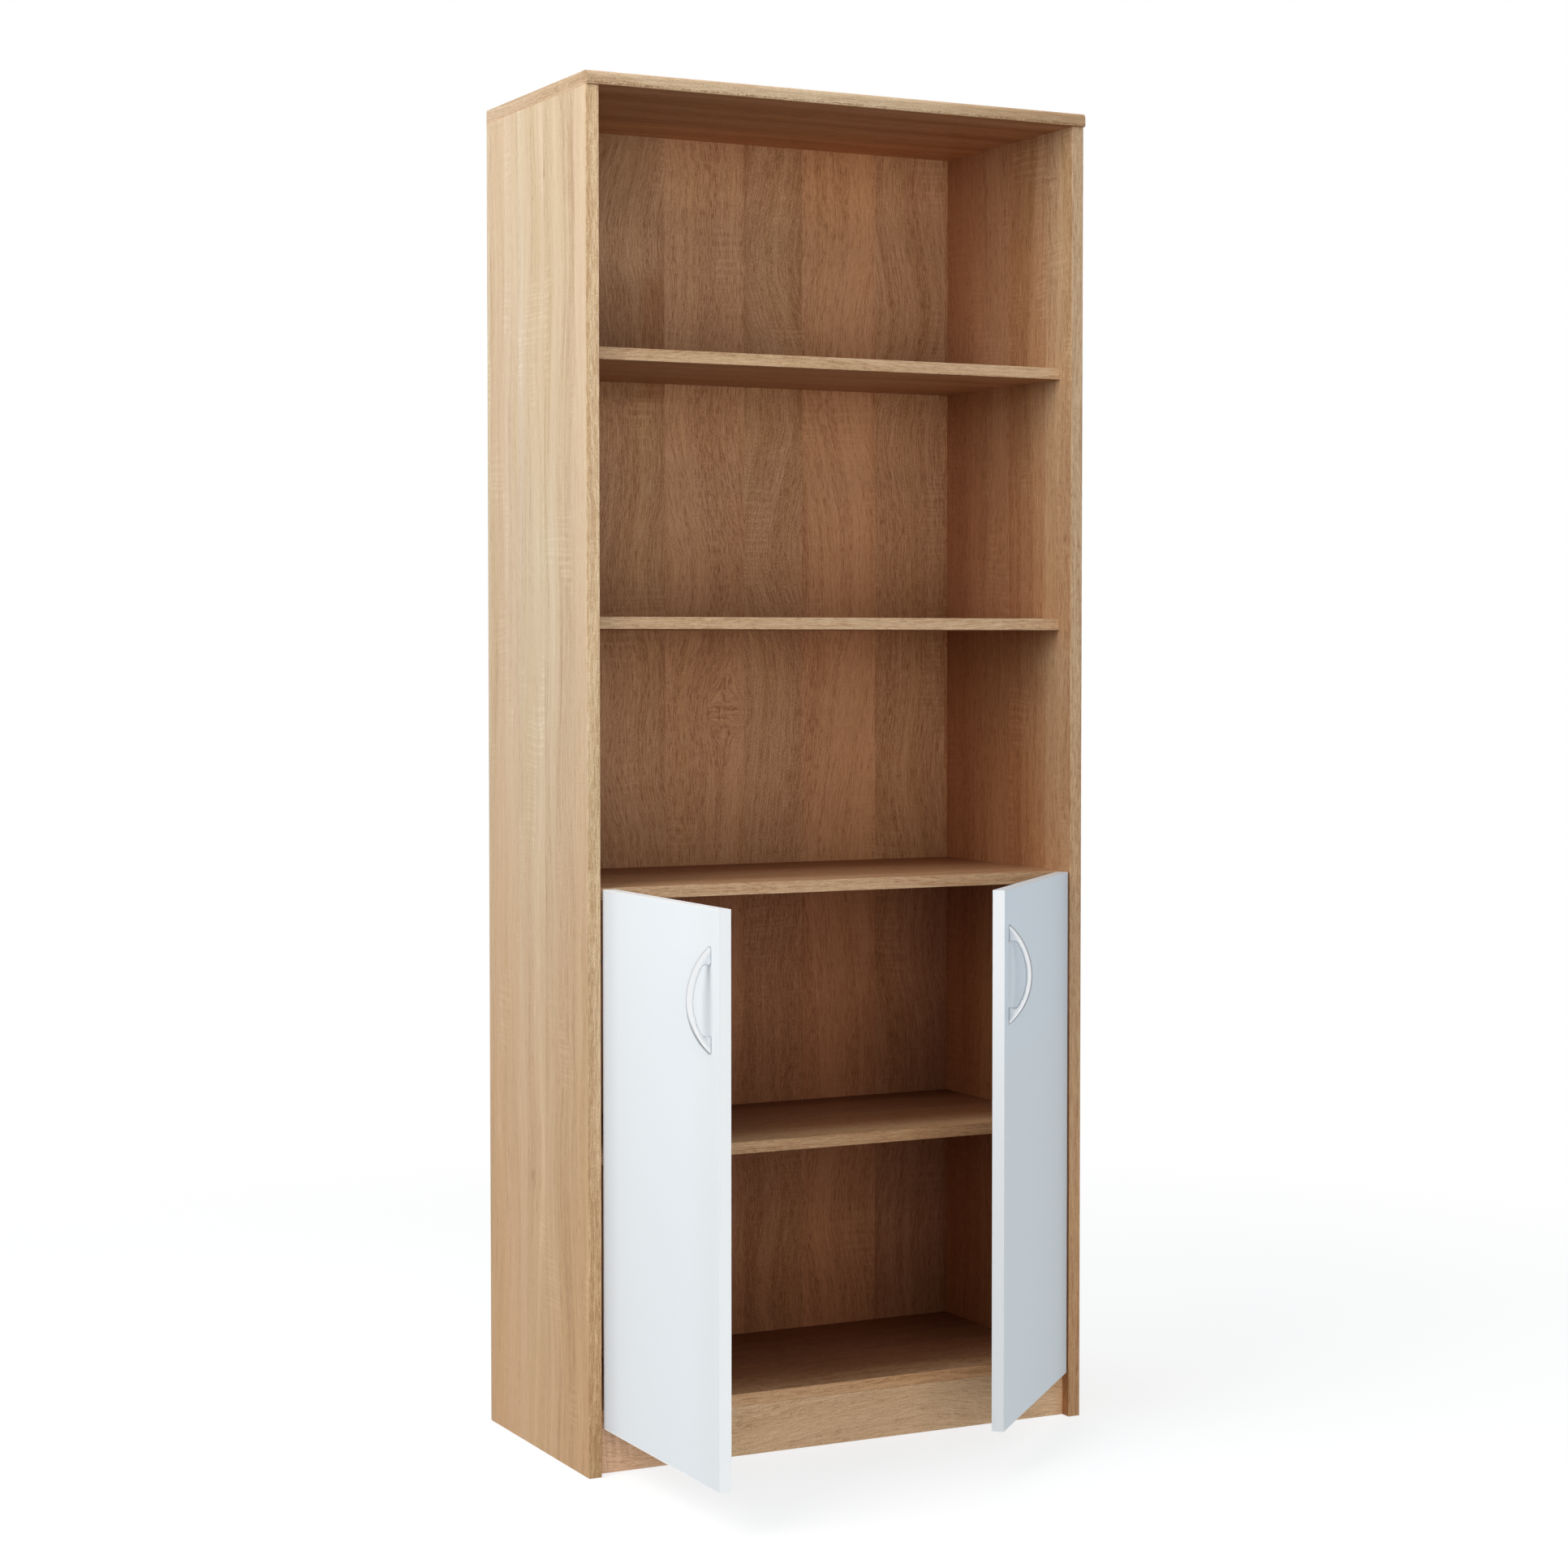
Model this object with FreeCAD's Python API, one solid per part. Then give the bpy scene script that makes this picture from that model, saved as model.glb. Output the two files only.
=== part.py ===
import FreeCAD, Part
import math
import os

from FreeCAD import Vector

# Bookcase with cabinet doors.
# Frame: millimetres, +Z up, X across the width, Y from the front to the wall.
# Origin: on the floor, in the middle of the width, on the plane of the back
# that stands against the wall.  The cabinet doors are modelled open.

# ---------------------------------------------------------------- carcass
height = 1820.0            # floor to top face
width = 748.0              # over both side panels
side_depth = 350.0         # side panel, edge band included
side_thickness = 18.0
top_thickness = 18.0
board_thickness = 16.0     # shelves, bottom panel and plinth
back_thickness = 3.0       # hardboard back
back_inset = 1.0           # back panel inside the outer faces of the sides
back_top_drop = 2.0        # back panel below the top face
edge_band = 1.0            # plastic edge band
band_round = 0.7           # rounding of the band's long edges

top_overhang = 5.0         # nose of the top in front of the sides
nose_upper_radius = 6.5
nose_lower_radius = 2.0

plinth_height = 67.0
fixed_recess = 17.0        # plinth, bottom and middle shelf behind the side fronts
shelf_recess = 31.0        # loose shelves behind the side fronts
shelf_end_gap = 0.5        # loose shelf to side panel
shelf_back_gap = 1.0       # loose shelf to back panel

cabinet_low_bay = 320.0    # clear heights, from the bottom panel upwards
cabinet_high_bay = 333.0
open_low_bay = 337.0
open_middle_bay = 334.0    # the top bay takes what is left

# ------------------------------------------------------------------ doors
door_thickness = 16.0
door_side_gap = 2.5        # closed door to side panel
door_centre_gap = 3.0      # between the closed doors
door_plinth_lap = 4.5      # door reaches this far below the bottom panel
door_top_gap = 0.5         # door below the top face of the middle shelf
pivot_from_edge = 2.0      # swing axis inside the door's outer corner
pivot_from_face = 0.5
left_door_open = 90.0      # modelled angles, from closed
right_door_open = 45.0

# ----------------------------------------------------------------- handle
handle_length = 130.0
handle_rise = 30.0         # height of the bow over the door
handle_bow = 7.5           # radial thickness of the bow
handle_width = 10.0
handle_foot = 22.0         # length of each foot along the door
handle_corner = 6.0        # rounding between a foot and the underside of the bow
handle_holes = 96.0        # screw spacing
handle_from_edge = 27.0    # handle centre line to the door's free edge
handle_below_top = 111.5   # handle centre below the door's top edge
handle_round = 2.8         # rounding of the section
handle_screw_radius = 2.0
handle_screw_depth = 9.0   # thread in the handle's foot
handle_head_radius = 4.0
handle_head_height = 2.2

# ------------------------------------------------------------ door hinges
hinge_from_end = 95.0      # hinge centre to the door's top and bottom edge
cup_radius = 17.5          # bore in the door
cup_from_edge = 3.0        # rim of the bore to the door's edge
cup_depth = 12.0
cup_wall = 1.0
flange_thickness = 1.2
flange_rim = 1.5           # round flange outside the bore
flange_length = 62.0       # over both wings
flange_width = 15.0
cup_screw_spacing = 48.0
cup_screw_offset = 6.0     # screws beyond the cup's centre, away from the edge
screw_core_radius = 1.6
cup_screw_length = 12.0
cup_screw_head = 3.3
screw_head_height = 1.5

link_pivot_out = 4.8       # link pivot from the side panel's inner face
link_pivot_back = 22.3     # link pivot behind the side's front edge
link_reach = 31.1          # pivot to free end, along the link's own line
elbow_along = 16.0         # first corner of the goose neck
elbow_up = 7.7
elbow_radius = 16.0
crown_along = 33.7         # second corner, over the rim of the cup
crown_up = 30.8
crown_radius = 4.0
link_thickness = 2.2
link_width = 8.0
link_closed_angle = -22.8  # direction of the free end with the door closed
link_ratio = 0.57          # link turn per door turn
link_eye_radius = 3.4
hinge_opening = 105.0      # full swing of a door
cam_width = 6.0            # saddle in the cup under the link's tip
cam_points = 8             # points of the saddle's crest
rivet_radius = 1.8
rivet_head_radius = 2.7
rivet_head_height = 0.8

arm_gap = 0.3              # link to each cheek of the arm
arm_sheet = 1.5
arm_height = 11.0          # top of the arm above the side panel
arm_foot_gap = 2.5         # lower edge of the cheeks above the side panel
arm_web_start = 35.0       # behind the side's front edge
arm_end = 80.0
plate_sheet = 2.0
plate_start = 45.0
plate_end = 82.0
plate_line = 53.0          # row of plate screws behind the side's front edge
plate_half_width = 8.0
plate_wing_radius = 6.5
plate_screw_spacing = 32.0
plate_screw_radius = 3.0
plate_screw_length = 10.0
plate_screw_head = 4.2
arm_screw_line = 70.0
arm_screw_radius = 2.5
arm_screw_head = 4.0
arm_screw_length = 7.0
adjuster_line = 43.0
adjuster_radius = 2.0

buffer_radius = 4.0
buffer_height = 0.7
buffer_from_edge = 20.0

# ----------------------------------------------------------- joint fittings
dowel_radius = 4.0
dowel_length = 30.0
dowel_in_side = 12.0
cam_radius = 7.5
cam_height = 12.5
cam_from_end = 24.0        # cam centre to the end of its board
cam_bolt_head_radius = 3.5
cam_bolt_neck_radius = 2.2
cam_bolt_thread_radius = 2.9
cam_bolt_in_side = 11.0
cam_bolt_bore_radius = 4.0
front_fitting_line = 60.0  # fitting rows behind the side's front edge
rear_fitting_line = 300.0
dowel_from_cam = 32.0
top_screw_radius = 3.4
top_screw_head_radius = 5.0
top_screw_head_height = 4.0
top_screw_length = 50.0
cap_radius = 6.5
cap_height = 1.2
shelf_pin_radius = 2.5
shelf_pin_in_side = 9.0
shelf_pin_out = 9.0
front_pin_line = 71.0
rear_pin_line = 311.0
nail_radius = 0.8
nail_length = 18.0
nail_head_radius = 2.0
nail_head_height = 0.8
nail_row_margin = 40.0     # first and last side nail to the ends of the side
nails_up_side = 7
nails_across = 3
cam_slot_room = 0.4        # cam slot round the bolt head
cam_cross = (5.0, 0.6, 1.2)    # half length, half width and depth of the cross
bolt_collar = 2.0
pin_chamfer = 0.6
screw_slot = (5.0, 0.5, 0.8)   # half length, half width and depth
adjuster_stand = 0.5       # adjusting screw proud of the arm

# -------------------------------------------------------------- clearances
press_gap = 0.05           # dowels, pins and screws in their holes
seat_gap = 0.1             # cams, cups and caps in their pockets
running_gap = 0.05         # link on its rivet
cam_gap = 0.3              # link's tip over the saddle in the cup
end_gap = 0.5              # bottom of a blind hole beyond what it holds

# -------------------------------------------------------- derived positions
front = -(side_depth + back_thickness)     # plane of the side fronts
inner = width / 2 - side_thickness         # half the clear width
side_top = height - top_thickness
bottom_top = plinth_height + board_thickness
cabinet_shelf_z = bottom_top + cabinet_low_bay
middle_shelf_z = cabinet_shelf_z + board_thickness + cabinet_high_bay
centre_shelf_z = middle_shelf_z + board_thickness + open_low_bay
top_shelf_z = centre_shelf_z + board_thickness + open_middle_bay
door_width = inner - door_side_gap - door_centre_gap / 2
door_bottom = plinth_height - door_plinth_lap
door_top = middle_shelf_z + board_thickness - door_top_gap
hinge_heights = (door_bottom + hinge_from_end, door_top - hinge_from_end)
pivot_x = -inner + door_side_gap + pivot_from_edge
pivot_y = front + pivot_from_face
fixed_boards = (plinth_height, middle_shelf_z)
loose_boards = (cabinet_shelf_z, centre_shelf_z, top_shelf_z)
AXIS = {"x": Vector(1, 0, 0), "y": Vector(0, 1, 0), "z": Vector(0, 0, 1)}


def box(x_range, y_range, z_range):
    """Block between pairs of coordinates."""
    low = [min(r) for r in (x_range, y_range, z_range)]
    size = [abs(r[1] - r[0]) for r in (x_range, y_range, z_range)]
    return Part.makeBox(*size, Vector(*low))


def rod(radius, start, axis, length):
    """Cylinder from a point along an axis; a negative length runs backwards."""
    direction = AXIS[axis] * (1 if length > 0 else -1)
    return Part.makeCylinder(radius, abs(length), Vector(*start), direction)


def union(shapes):
    """One solid out of pieces that touch or overlap."""
    joined = shapes[0]
    for shape in shapes[1:]:
        joined = joined.fuse(shape)
    return joined.removeSplitter()


def drill(shape, holes):
    """Shape with the holes cut out."""
    for hole in holes:
        shape = shape.cut(hole)
    return shape


def mirror(shape):
    """The same piece on the other side of the middle plane."""
    return shape.mirror(Vector(0, 0, 0), Vector(1, 0, 0))


def edges_along(shape, axis, test):
    """Straight edges parallel to an axis whose midpoint passes a test."""
    chosen = []
    for edge in shape.Edges:
        if edge.Curve.TypeId != "Part::GeomLine":
            continue
        if abs(edge.Curve.Direction.dot(AXIS[axis])) > 0.999:
            if test(edge.CenterOfMass):
                chosen.append(edge)
    return chosen


# ================================================================= carcass
def band(x_range, recess, z_range, axis):
    """Edge band in front of a board, with its two long edges rounded."""
    face = front + recess
    strip = box(x_range, (face, face + edge_band), z_range)
    long_edges = edges_along(strip, axis, lambda c: abs(c.y - face) < 0.01)
    return strip.makeFillet(band_round, long_edges)


def board(half_width, recess, rear, z):
    """Horizontal board behind its edge band."""
    return box((-half_width, half_width), (front + recess + edge_band, rear),
               (z, z + board_thickness))


def cam_places():
    """Fitting rows of each fixed board: side of the cabinet, row, mid height."""
    places = []
    for sign in (-1, 1):
        for z in fixed_boards:
            for line in (front_fitting_line, rear_fitting_line):
                places.append((sign, front + line, z + board_thickness / 2))
    return places


def cam_bolt(sign, y, z, gap=0.0):
    """Bolt in the side panel with its head at the cam's centre."""
    thread_start = (sign * (inner + cam_bolt_in_side + (end_gap if gap else 0)), y, z)
    thread = rod(cam_bolt_thread_radius + gap, thread_start, "x",
                 -sign * (cam_bolt_in_side + (end_gap if gap else 0)))
    if gap:
        return thread
    head_start = cam_from_end - cam_bolt_head_radius
    neck = rod(cam_bolt_neck_radius, (sign * inner, y, z), "x", -sign * head_start)
    head = rod(cam_bolt_head_radius, (sign * (inner - head_start), y, z), "x",
               -sign * cam_bolt_head_radius)
    collar = rod(cam_bolt_head_radius, (sign * inner, y, z), "x", -sign * bolt_collar)
    return union([thread, neck, head, collar])


def cam(sign, centre, axis, depth_sign):
    """Round cam nut with the slot that grips the bolt head and a driver cross."""
    x, y, z = centre
    mouth = board_thickness / 2
    start = [x, y, z]
    index = "xyz".index(axis)
    start[index] -= depth_sign * mouth
    body = rod(cam_radius - seat_gap, start, axis, depth_sign * cam_height)
    room = cam_bolt_head_radius + cam_slot_room
    slot = rod(room, (x - sign * room, y, z), "x", sign * (cam_radius * 2 + room))
    half_length, half_width, depth = cam_cross
    cross = []
    for turn in (0, 1):
        size = [half_length] * 3
        size[(index + 1 + turn) % 3] = half_width
        size[index] = depth
        ranges = [(p - s, p + s) for p, s in zip(start, size)]
        cross.append(box(*ranges))
    return drill(body, [slot] + cross)


def cam_pocket(sign, centre, axis, depth_sign):
    """Pocket for the cam and the bolt's bore from the end of the board."""
    x, y, z = centre
    start = [x, y, z]
    start["xyz".index(axis)] -= depth_sign * board_thickness / 2
    pocket = rod(cam_radius, start, axis, depth_sign * (cam_height + seat_gap))
    bore = rod(cam_bolt_bore_radius, (x, y, z), "x", sign * (cam_from_end + 1))
    return [pocket, bore]


def side_dowel(sign, y, z, gap=0.0):
    """Dowel across the joint of a side panel and the end of a board."""
    extra = end_gap if gap else 0.0
    start = (sign * (inner + dowel_in_side + extra), y, z)
    return rod(dowel_radius + gap, start, "x", -sign * (dowel_length + 2 * extra))


def dowel_places():
    """Dowels beside the cams of the fixed boards."""
    places = []
    for sign, y, z in cam_places():
        step = dowel_from_cam if y < front + side_depth / 2 else -dowel_from_cam
        places.append((sign, y + step, z))
    return places


plinth_y = front + fixed_recess + board_thickness / 2
plinth_cam_z = plinth_height / 3
plinth_dowel_z = plinth_height * 2 / 3


def plinth_cams():
    """Cam places of the plinth, one at each end."""
    return [(sign, (sign * (inner - cam_from_end), plinth_y, plinth_cam_z))
            for sign in (-1, 1)]


def pin_places():
    """Shelf pins: side, row and axis height, flush with the shelf's underside."""
    places = []
    for z in loose_boards:
        for sign in (-1, 1):
            for line in (front_pin_line, rear_pin_line):
                places.append((sign, front + line, z + shelf_pin_radius))
    return places


def shelf_pin(sign, y, z, gap=0.0):
    """Steel pin, half in the side panel."""
    extra = end_gap if gap else 0.0
    start = (sign * (inner + shelf_pin_in_side + extra), y, z)
    length = shelf_pin_in_side + extra + (0 if gap else shelf_pin_out)
    pin = rod(shelf_pin_radius + gap, start, "x", -sign * length)
    if gap:
        return pin
    tip = [e for e in pin.Edges
           if e.Curve.TypeId == "Part::GeomCircle" and abs(e.CenterOfMass.x) < inner]
    return pin.makeChamfer(pin_chamfer, tip)


def top_screw_places():
    """Screws down through the top into the sides, and dowels between them."""
    x = width / 2 - side_thickness / 2
    middle = front + side_depth / 2
    rows = (front + front_fitting_line, middle, front + rear_fitting_line)
    return [(sign * x, y) for sign in (-1, 1) for y in rows]


def top_dowel_places():
    """Dowels between the top and the sides."""
    x = width / 2 - side_thickness / 2
    rows = (front + front_fitting_line + dowel_from_cam,
            front + rear_fitting_line - dowel_from_cam)
    return [(sign * x, y) for sign in (-1, 1) for y in rows]


def top_dowel(x, y, gap=0.0):
    """Upright dowel between a side panel and the top."""
    extra = end_gap if gap else 0.0
    low = side_top + dowel_in_side - dowel_length - extra
    return rod(dowel_radius + gap, (x, y, low), "z", dowel_length + 2 * extra)


def top_screw(x, y, gap=0.0):
    """Confirmat screw with its head under the cap."""
    extra = end_gap if gap else 0.0
    head_top = height - cap_height - seat_gap
    shank = rod(top_screw_radius + gap, (x, y, head_top), "z",
                -(top_screw_length + extra))
    head = rod(top_screw_head_radius + gap, (x, y, head_top), "z",
               -top_screw_head_height)
    return union([shank, head])


def top_cap(x, y, gap=0.0):
    """Flush cap over a screw head."""
    return rod(cap_radius - gap, (x, y, height), "z", -cap_height)


def top_screw_bore(x, y):
    """Room for a top screw and its cap."""
    cap_room = rod(cap_radius, (x, y, height), "z", -(cap_height + seat_gap))
    return [top_screw(x, y, press_gap), cap_room]


def side_panel(sign):
    """Side panel with the holes of every fitting that it carries."""
    panel = box((sign * inner, sign * width / 2),
                (front + edge_band, -back_thickness), (0, side_top))
    holes = []
    for place in cam_places():
        holes.append(cam_bolt(*place, gap=press_gap))
    for place in dowel_places():
        holes.append(side_dowel(*place, gap=press_gap))
    for place in pin_places():
        holes.append(shelf_pin(*place, gap=press_gap))
    for end, centre in plinth_cams():
        holes.append(cam_bolt(end, centre[1], centre[2], press_gap))
        holes.append(side_dowel(end, centre[1], plinth_dowel_z, press_gap))
    for x, y in top_screw_places():
        holes.append(top_screw(x, y, press_gap))
    for x, y in top_dowel_places():
        holes.append(top_dowel(x, y, press_gap))
    for z in hinge_heights:
        for hole in plate_screw_holes(z):
            holes.append(hole if sign < 0 else mirror(hole))
    return drill(panel, [h for h in holes if h.common(panel).Volume > 0.01])


def top_panel():
    """Top with a postformed nose: large upper radius, small lower one."""
    nose = front - top_overhang
    panel = box((-width / 2, width / 2), (nose, -back_thickness), (side_top, height))
    upper = edges_along(panel, "x", lambda c: c.y < nose + 1 and c.z > height - 1)
    panel = panel.makeFillet(nose_upper_radius, upper)
    lower = edges_along(panel, "x", lambda c: c.y < nose + 1 and c.z < side_top + 1)
    panel = panel.makeFillet(nose_lower_radius, lower)
    for x, y in top_screw_places():
        panel = drill(panel, top_screw_bore(x, y))
    return drill(panel, [top_dowel(x, y, press_gap) for x, y in top_dowel_places()])


def fixed_board(z):
    """Bottom panel or middle shelf, with cams in its underside."""
    panel = board(inner, fixed_recess, -back_thickness, z)
    holes = []
    for sign, y, mid in cam_places():
        if abs(mid - z) < board_thickness:
            centre = (sign * (inner - cam_from_end), y, mid)
            holes += cam_pocket(sign, centre, "z", 1)
    for sign, y, mid in dowel_places():
        if abs(mid - z) < board_thickness:
            holes.append(side_dowel(sign, y, mid, press_gap))
    return drill(panel, holes)


def loose_board(z):
    """Loose shelf with grooves in its underside that sit over the pins."""
    half = inner - shelf_end_gap
    panel = board(half, shelf_recess, -back_thickness - shelf_back_gap, z)
    grooves = []
    for sign, y, pin_z in pin_places():
        if abs(pin_z - shelf_pin_radius - z) < 0.01:
            reach = (sign * (inner - shelf_pin_out - end_gap), sign * (inner + 1))
            room = shelf_pin_radius + seat_gap
            grooves.append(box(reach, (y - room, y + room), (z - 1, pin_z + room)))
    return drill(panel, grooves)


def plinth():
    """Board under the bottom panel, with cams in its rear face."""
    y_range = (front + fixed_recess, front + fixed_recess + board_thickness)
    panel = box((-inner, inner), y_range, (0, plinth_height))
    holes = []
    for sign, centre in plinth_cams():
        holes += cam_pocket(sign, centre, "y", -1)
        holes.append(side_dowel(sign, plinth_y, plinth_dowel_z, press_gap))
    return drill(panel, holes)


def nail_places():
    """Nails round the back panel and along the fixed boards."""
    half = width / 2 - side_thickness / 2
    places = []
    for i in range(nails_up_side):
        z = nail_row_margin + i * (side_top - 2 * nail_row_margin) / (nails_up_side - 1)
        places += [(-half, z), (half, z)]
    rows = [z + board_thickness / 2 for z in fixed_boards]
    rows.append(side_top + top_thickness / 2)
    for z in rows:
        for i in range(nails_across):
            places.append(((i + 1) * width / (nails_across + 1) - width / 2, z))
    return places


def nail(x, z, gap=0.0):
    """Flat-headed nail, its head flush with the back."""
    shank = rod(nail_radius + gap, (x, 0, z), "y", -(nail_length + (end_gap if gap else 0)))
    head = rod(nail_head_radius + gap, (x, 0, z), "y", -nail_head_height)
    return union([shank, head])


def nail_bore(panel):
    """Panel with the nails' holes."""
    holes = []
    for x, z in nail_places():
        hole = nail(x, z, press_gap)
        if hole.BoundBox.intersect(panel.BoundBox):
            holes.append(hole)
    return drill(panel, holes)


def back_panel():
    """Hardboard back, nailed on behind, down to the floor."""
    half = width / 2 - back_inset
    return box((-half, half), (-back_thickness, 0), (0, height - back_top_drop))


# =========================================================== hinges, closed
def flat_outline(points):
    """Face in the XY plane through a closed run of points."""
    corners = [Vector(*p, 0) for p in points]
    return Part.Face(Part.makePolygon(corners + [corners[0]]))


def plate_screw_holes(z):
    """Holes of the mounting plate's screws in the left side panel."""
    holes = []
    for up in (-0.5, 0.5):
        start = (-inner, front + plate_line, z + up * plate_screw_spacing)
        holes.append(rod(plate_screw_radius + press_gap, start, "x",
                         -(plate_screw_length + end_gap)))
    return holes


def mounting_plate(z):
    """Winged plate on the side panel with the rib that carries the arm."""
    face = -inner
    sheet = (face, face + plate_sheet)
    body = box(sheet, (front + plate_start, front + plate_end),
               (z - plate_half_width, z + plate_half_width))
    wing = box(sheet, (front + plate_line - plate_wing_radius,
                       front + plate_line + plate_wing_radius),
               (z - plate_screw_spacing / 2, z + plate_screw_spacing / 2))
    ends = []
    holes = []
    for up in (-0.5, 0.5):
        centre = (face, front + plate_line, z + up * plate_screw_spacing)
        ends.append(rod(plate_wing_radius, centre, "x", plate_sheet))
        holes.append(rod(plate_screw_radius + press_gap, centre, "x", plate_sheet))
    rib = box((face, face + arm_height - arm_sheet),
              (front + plate_line - plate_wing_radius, front + arm_end),
              (z - link_width / 2, z + link_width / 2))
    bore = rod(arm_screw_radius + press_gap,
               (face + arm_height - arm_sheet, front + arm_screw_line, z), "x",
               -arm_screw_length)
    return drill(union([body, wing] + ends + [rib]), holes + [bore])


def plate_screws(z):
    """Two screws through the mounting plate's wings."""
    screws = []
    for up in (-0.5, 0.5):
        start = (-inner + plate_sheet, front + plate_line, z + up * plate_screw_spacing)
        shank = rod(plate_screw_radius, start, "x", -(plate_sheet + plate_screw_length))
        head = rod(plate_screw_head, start, "x", screw_head_height)
        screws.append(union([shank, head]))
    return screws


def link_pivot():
    """Rivet axis in plan, left side."""
    return Vector(-inner + link_pivot_out, front + link_pivot_back, 0)


def hinge_arm(z):
    """Channel-shaped arm from the plate to the link's rivet."""
    pivot = link_pivot()
    low = -inner + arm_foot_gap
    high = -inner + arm_height
    back = front + arm_end
    web_front = front + arm_web_start
    cheek = flat_outline([(low, back), (high, back), (high, web_front),
                          (pivot.x + link_eye_radius, pivot.y), (low, pivot.y)])
    eye = Part.Face(Part.Wire(Part.makeCircle(link_eye_radius, pivot)))
    outline = cheek.fuse(eye).removeSplitter()
    inside = link_width / 2 + arm_gap
    cheeks = []
    for low_z in (z - inside - arm_sheet, z + inside):
        plate = outline.extrude(Vector(0, 0, arm_sheet))
        plate.translate(Vector(0, 0, low_z))
        cheeks.append(plate)
    web = box((high - arm_sheet, high), (web_front, back),
              (z - inside - arm_sheet, z + inside + arm_sheet))
    arm = union(cheeks + [web])
    holes = [rod(rivet_radius + press_gap, (pivot.x, pivot.y, z - link_width), "z",
                 2 * link_width),
             rod(arm_screw_radius + press_gap, (high, front + arm_screw_line, z), "x",
                 -arm_sheet),
             rod(adjuster_radius + press_gap, (high, front + adjuster_line, z), "x",
                 -arm_sheet)]
    return drill(arm, holes)


def rivet(z):
    """Rivet through the arm's cheeks and the link's eye."""
    pivot = link_pivot()
    half = link_width / 2 + arm_gap + arm_sheet
    parts = [rod(rivet_radius, (pivot.x, pivot.y, z - half), "z", 2 * half)]
    for end in (-1, 1):
        parts.append(rod(rivet_head_radius, (pivot.x, pivot.y, z + end * half), "z",
                         end * rivet_head_height))
    return union(parts)


def arm_screws(z):
    """Fixing screw into the rib and adjusting screw in the arm."""
    top = -inner + arm_height
    start = (top, front + arm_screw_line, z)
    fixing = union([rod(arm_screw_radius, start, "x", -(arm_sheet + arm_screw_length - end_gap)),
                    rod(arm_screw_head, start, "x", screw_head_height)])
    half_length, half_width, depth = screw_slot
    head_top = top + screw_head_height
    slot = box((head_top - depth, head_top), (start[1] - half_width, start[1] + half_width),
               (z - half_length, z + half_length))
    adjuster = rod(adjuster_radius, (top + adjuster_stand, front + adjuster_line, z), "x",
                   -(arm_height - arm_foot_gap))
    return [fixing.cut(slot), adjuster]


def rounded_path(points, radii):
    """Open wire of straight runs, each inner corner rounded by its radius."""
    edges = []
    start = points[0]
    for before, corner, after, radius in zip(points, points[1:], points[2:], radii):
        to_start = (before - corner).normalize()
        to_end = (after - corner).normalize()
        half_angle = to_start.getAngle(to_end) / 2
        trim = radius / math.tan(half_angle)
        inward = (to_start + to_end).normalize()
        to_centre = radius / math.sin(half_angle)
        arc_start = corner + to_start * trim
        arc_end = corner + to_end * trim
        arc_middle = corner + inward * (to_centre - radius)
        edges.append(Part.makeLine(start, arc_start))
        edges.append(Part.Arc(arc_start, arc_middle, arc_end).toShape())
        start = arc_end
    edges.append(Part.makeLine(start, points[-1]))
    return Part.Wire(edges)


def hinge_link(z, door_angle):
    """Goose-neck link from the rivet over the cup's rim and down into the cup."""
    start = Vector(0, 0, 0)
    path = rounded_path([start, Vector(elbow_along, elbow_up, 0),
                         Vector(crown_along, crown_up, 0), Vector(link_reach, 0, 0)],
                        [elbow_radius, crown_radius])
    strip = Part.Face(path.makeOffset2D(link_thickness / 2, 0, False, False, False))
    eye = Part.Face(Part.Wire(Part.makeCircle(link_eye_radius, start)))
    link = strip.fuse(eye).removeSplitter().extrude(Vector(0, 0, link_width))
    bore = rod(rivet_radius + running_gap, (0, 0, -1), "z", link_width + 2)
    link = link.cut(bore)
    turn = link_closed_angle - link_ratio * door_angle
    link.rotate(Vector(0, 0, 0), AXIS["z"], turn)
    link.translate(link_pivot() + Vector(0, 0, z - link_width / 2))
    return link.Solids[0]


def turned(point, centre, angle):
    """Point turned about a centre in plan."""
    return centre + FreeCAD.Rotation(AXIS["z"], angle).multVec(point - centre)


def tip_in_door(door_angle):
    """Place of the link's tip as the closed door would see it."""
    turn = link_closed_angle - link_ratio * door_angle
    tip = turned(link_pivot() + Vector(link_reach, 0, 0), link_pivot(), turn)
    return turned(tip, Vector(pivot_x, pivot_y, 0), door_angle)


def cup_cam(z):
    """Saddle on the cup's floor whose crest follows the tip of the link."""
    crest = []
    for i in range(cam_points):
        angle = hinge_opening * i / (cam_points - 1)
        travel = (tip_in_door(angle + 1) - tip_in_door(angle - 1)).normalize()
        inward = Vector(-travel.y, travel.x, 0)
        crest.append(tip_in_door(angle) + inward * (link_thickness / 2 + cam_gap))
    curve = Part.BSplineCurve()
    curve.interpolate(crest)
    floor = front + door_thickness - cup_depth
    feet = [Vector(crest[-1].x, floor, 0), Vector(crest[0].x, floor, 0)]
    outline = Part.Wire([curve.toShape(), Part.makeLine(crest[-1], feet[0]),
                         Part.makeLine(feet[0], feet[1]),
                         Part.makeLine(feet[1], crest[0])])
    cam_body = Part.Face(outline).extrude(Vector(0, 0, cam_width))
    cam_body.translate(Vector(0, 0, z - cam_width / 2))
    return cam_body


def cup_centre():
    """Cup axis in plan with the left door closed."""
    x = -inner + door_side_gap + cup_from_edge + cup_radius
    return x, front + door_thickness


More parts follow.
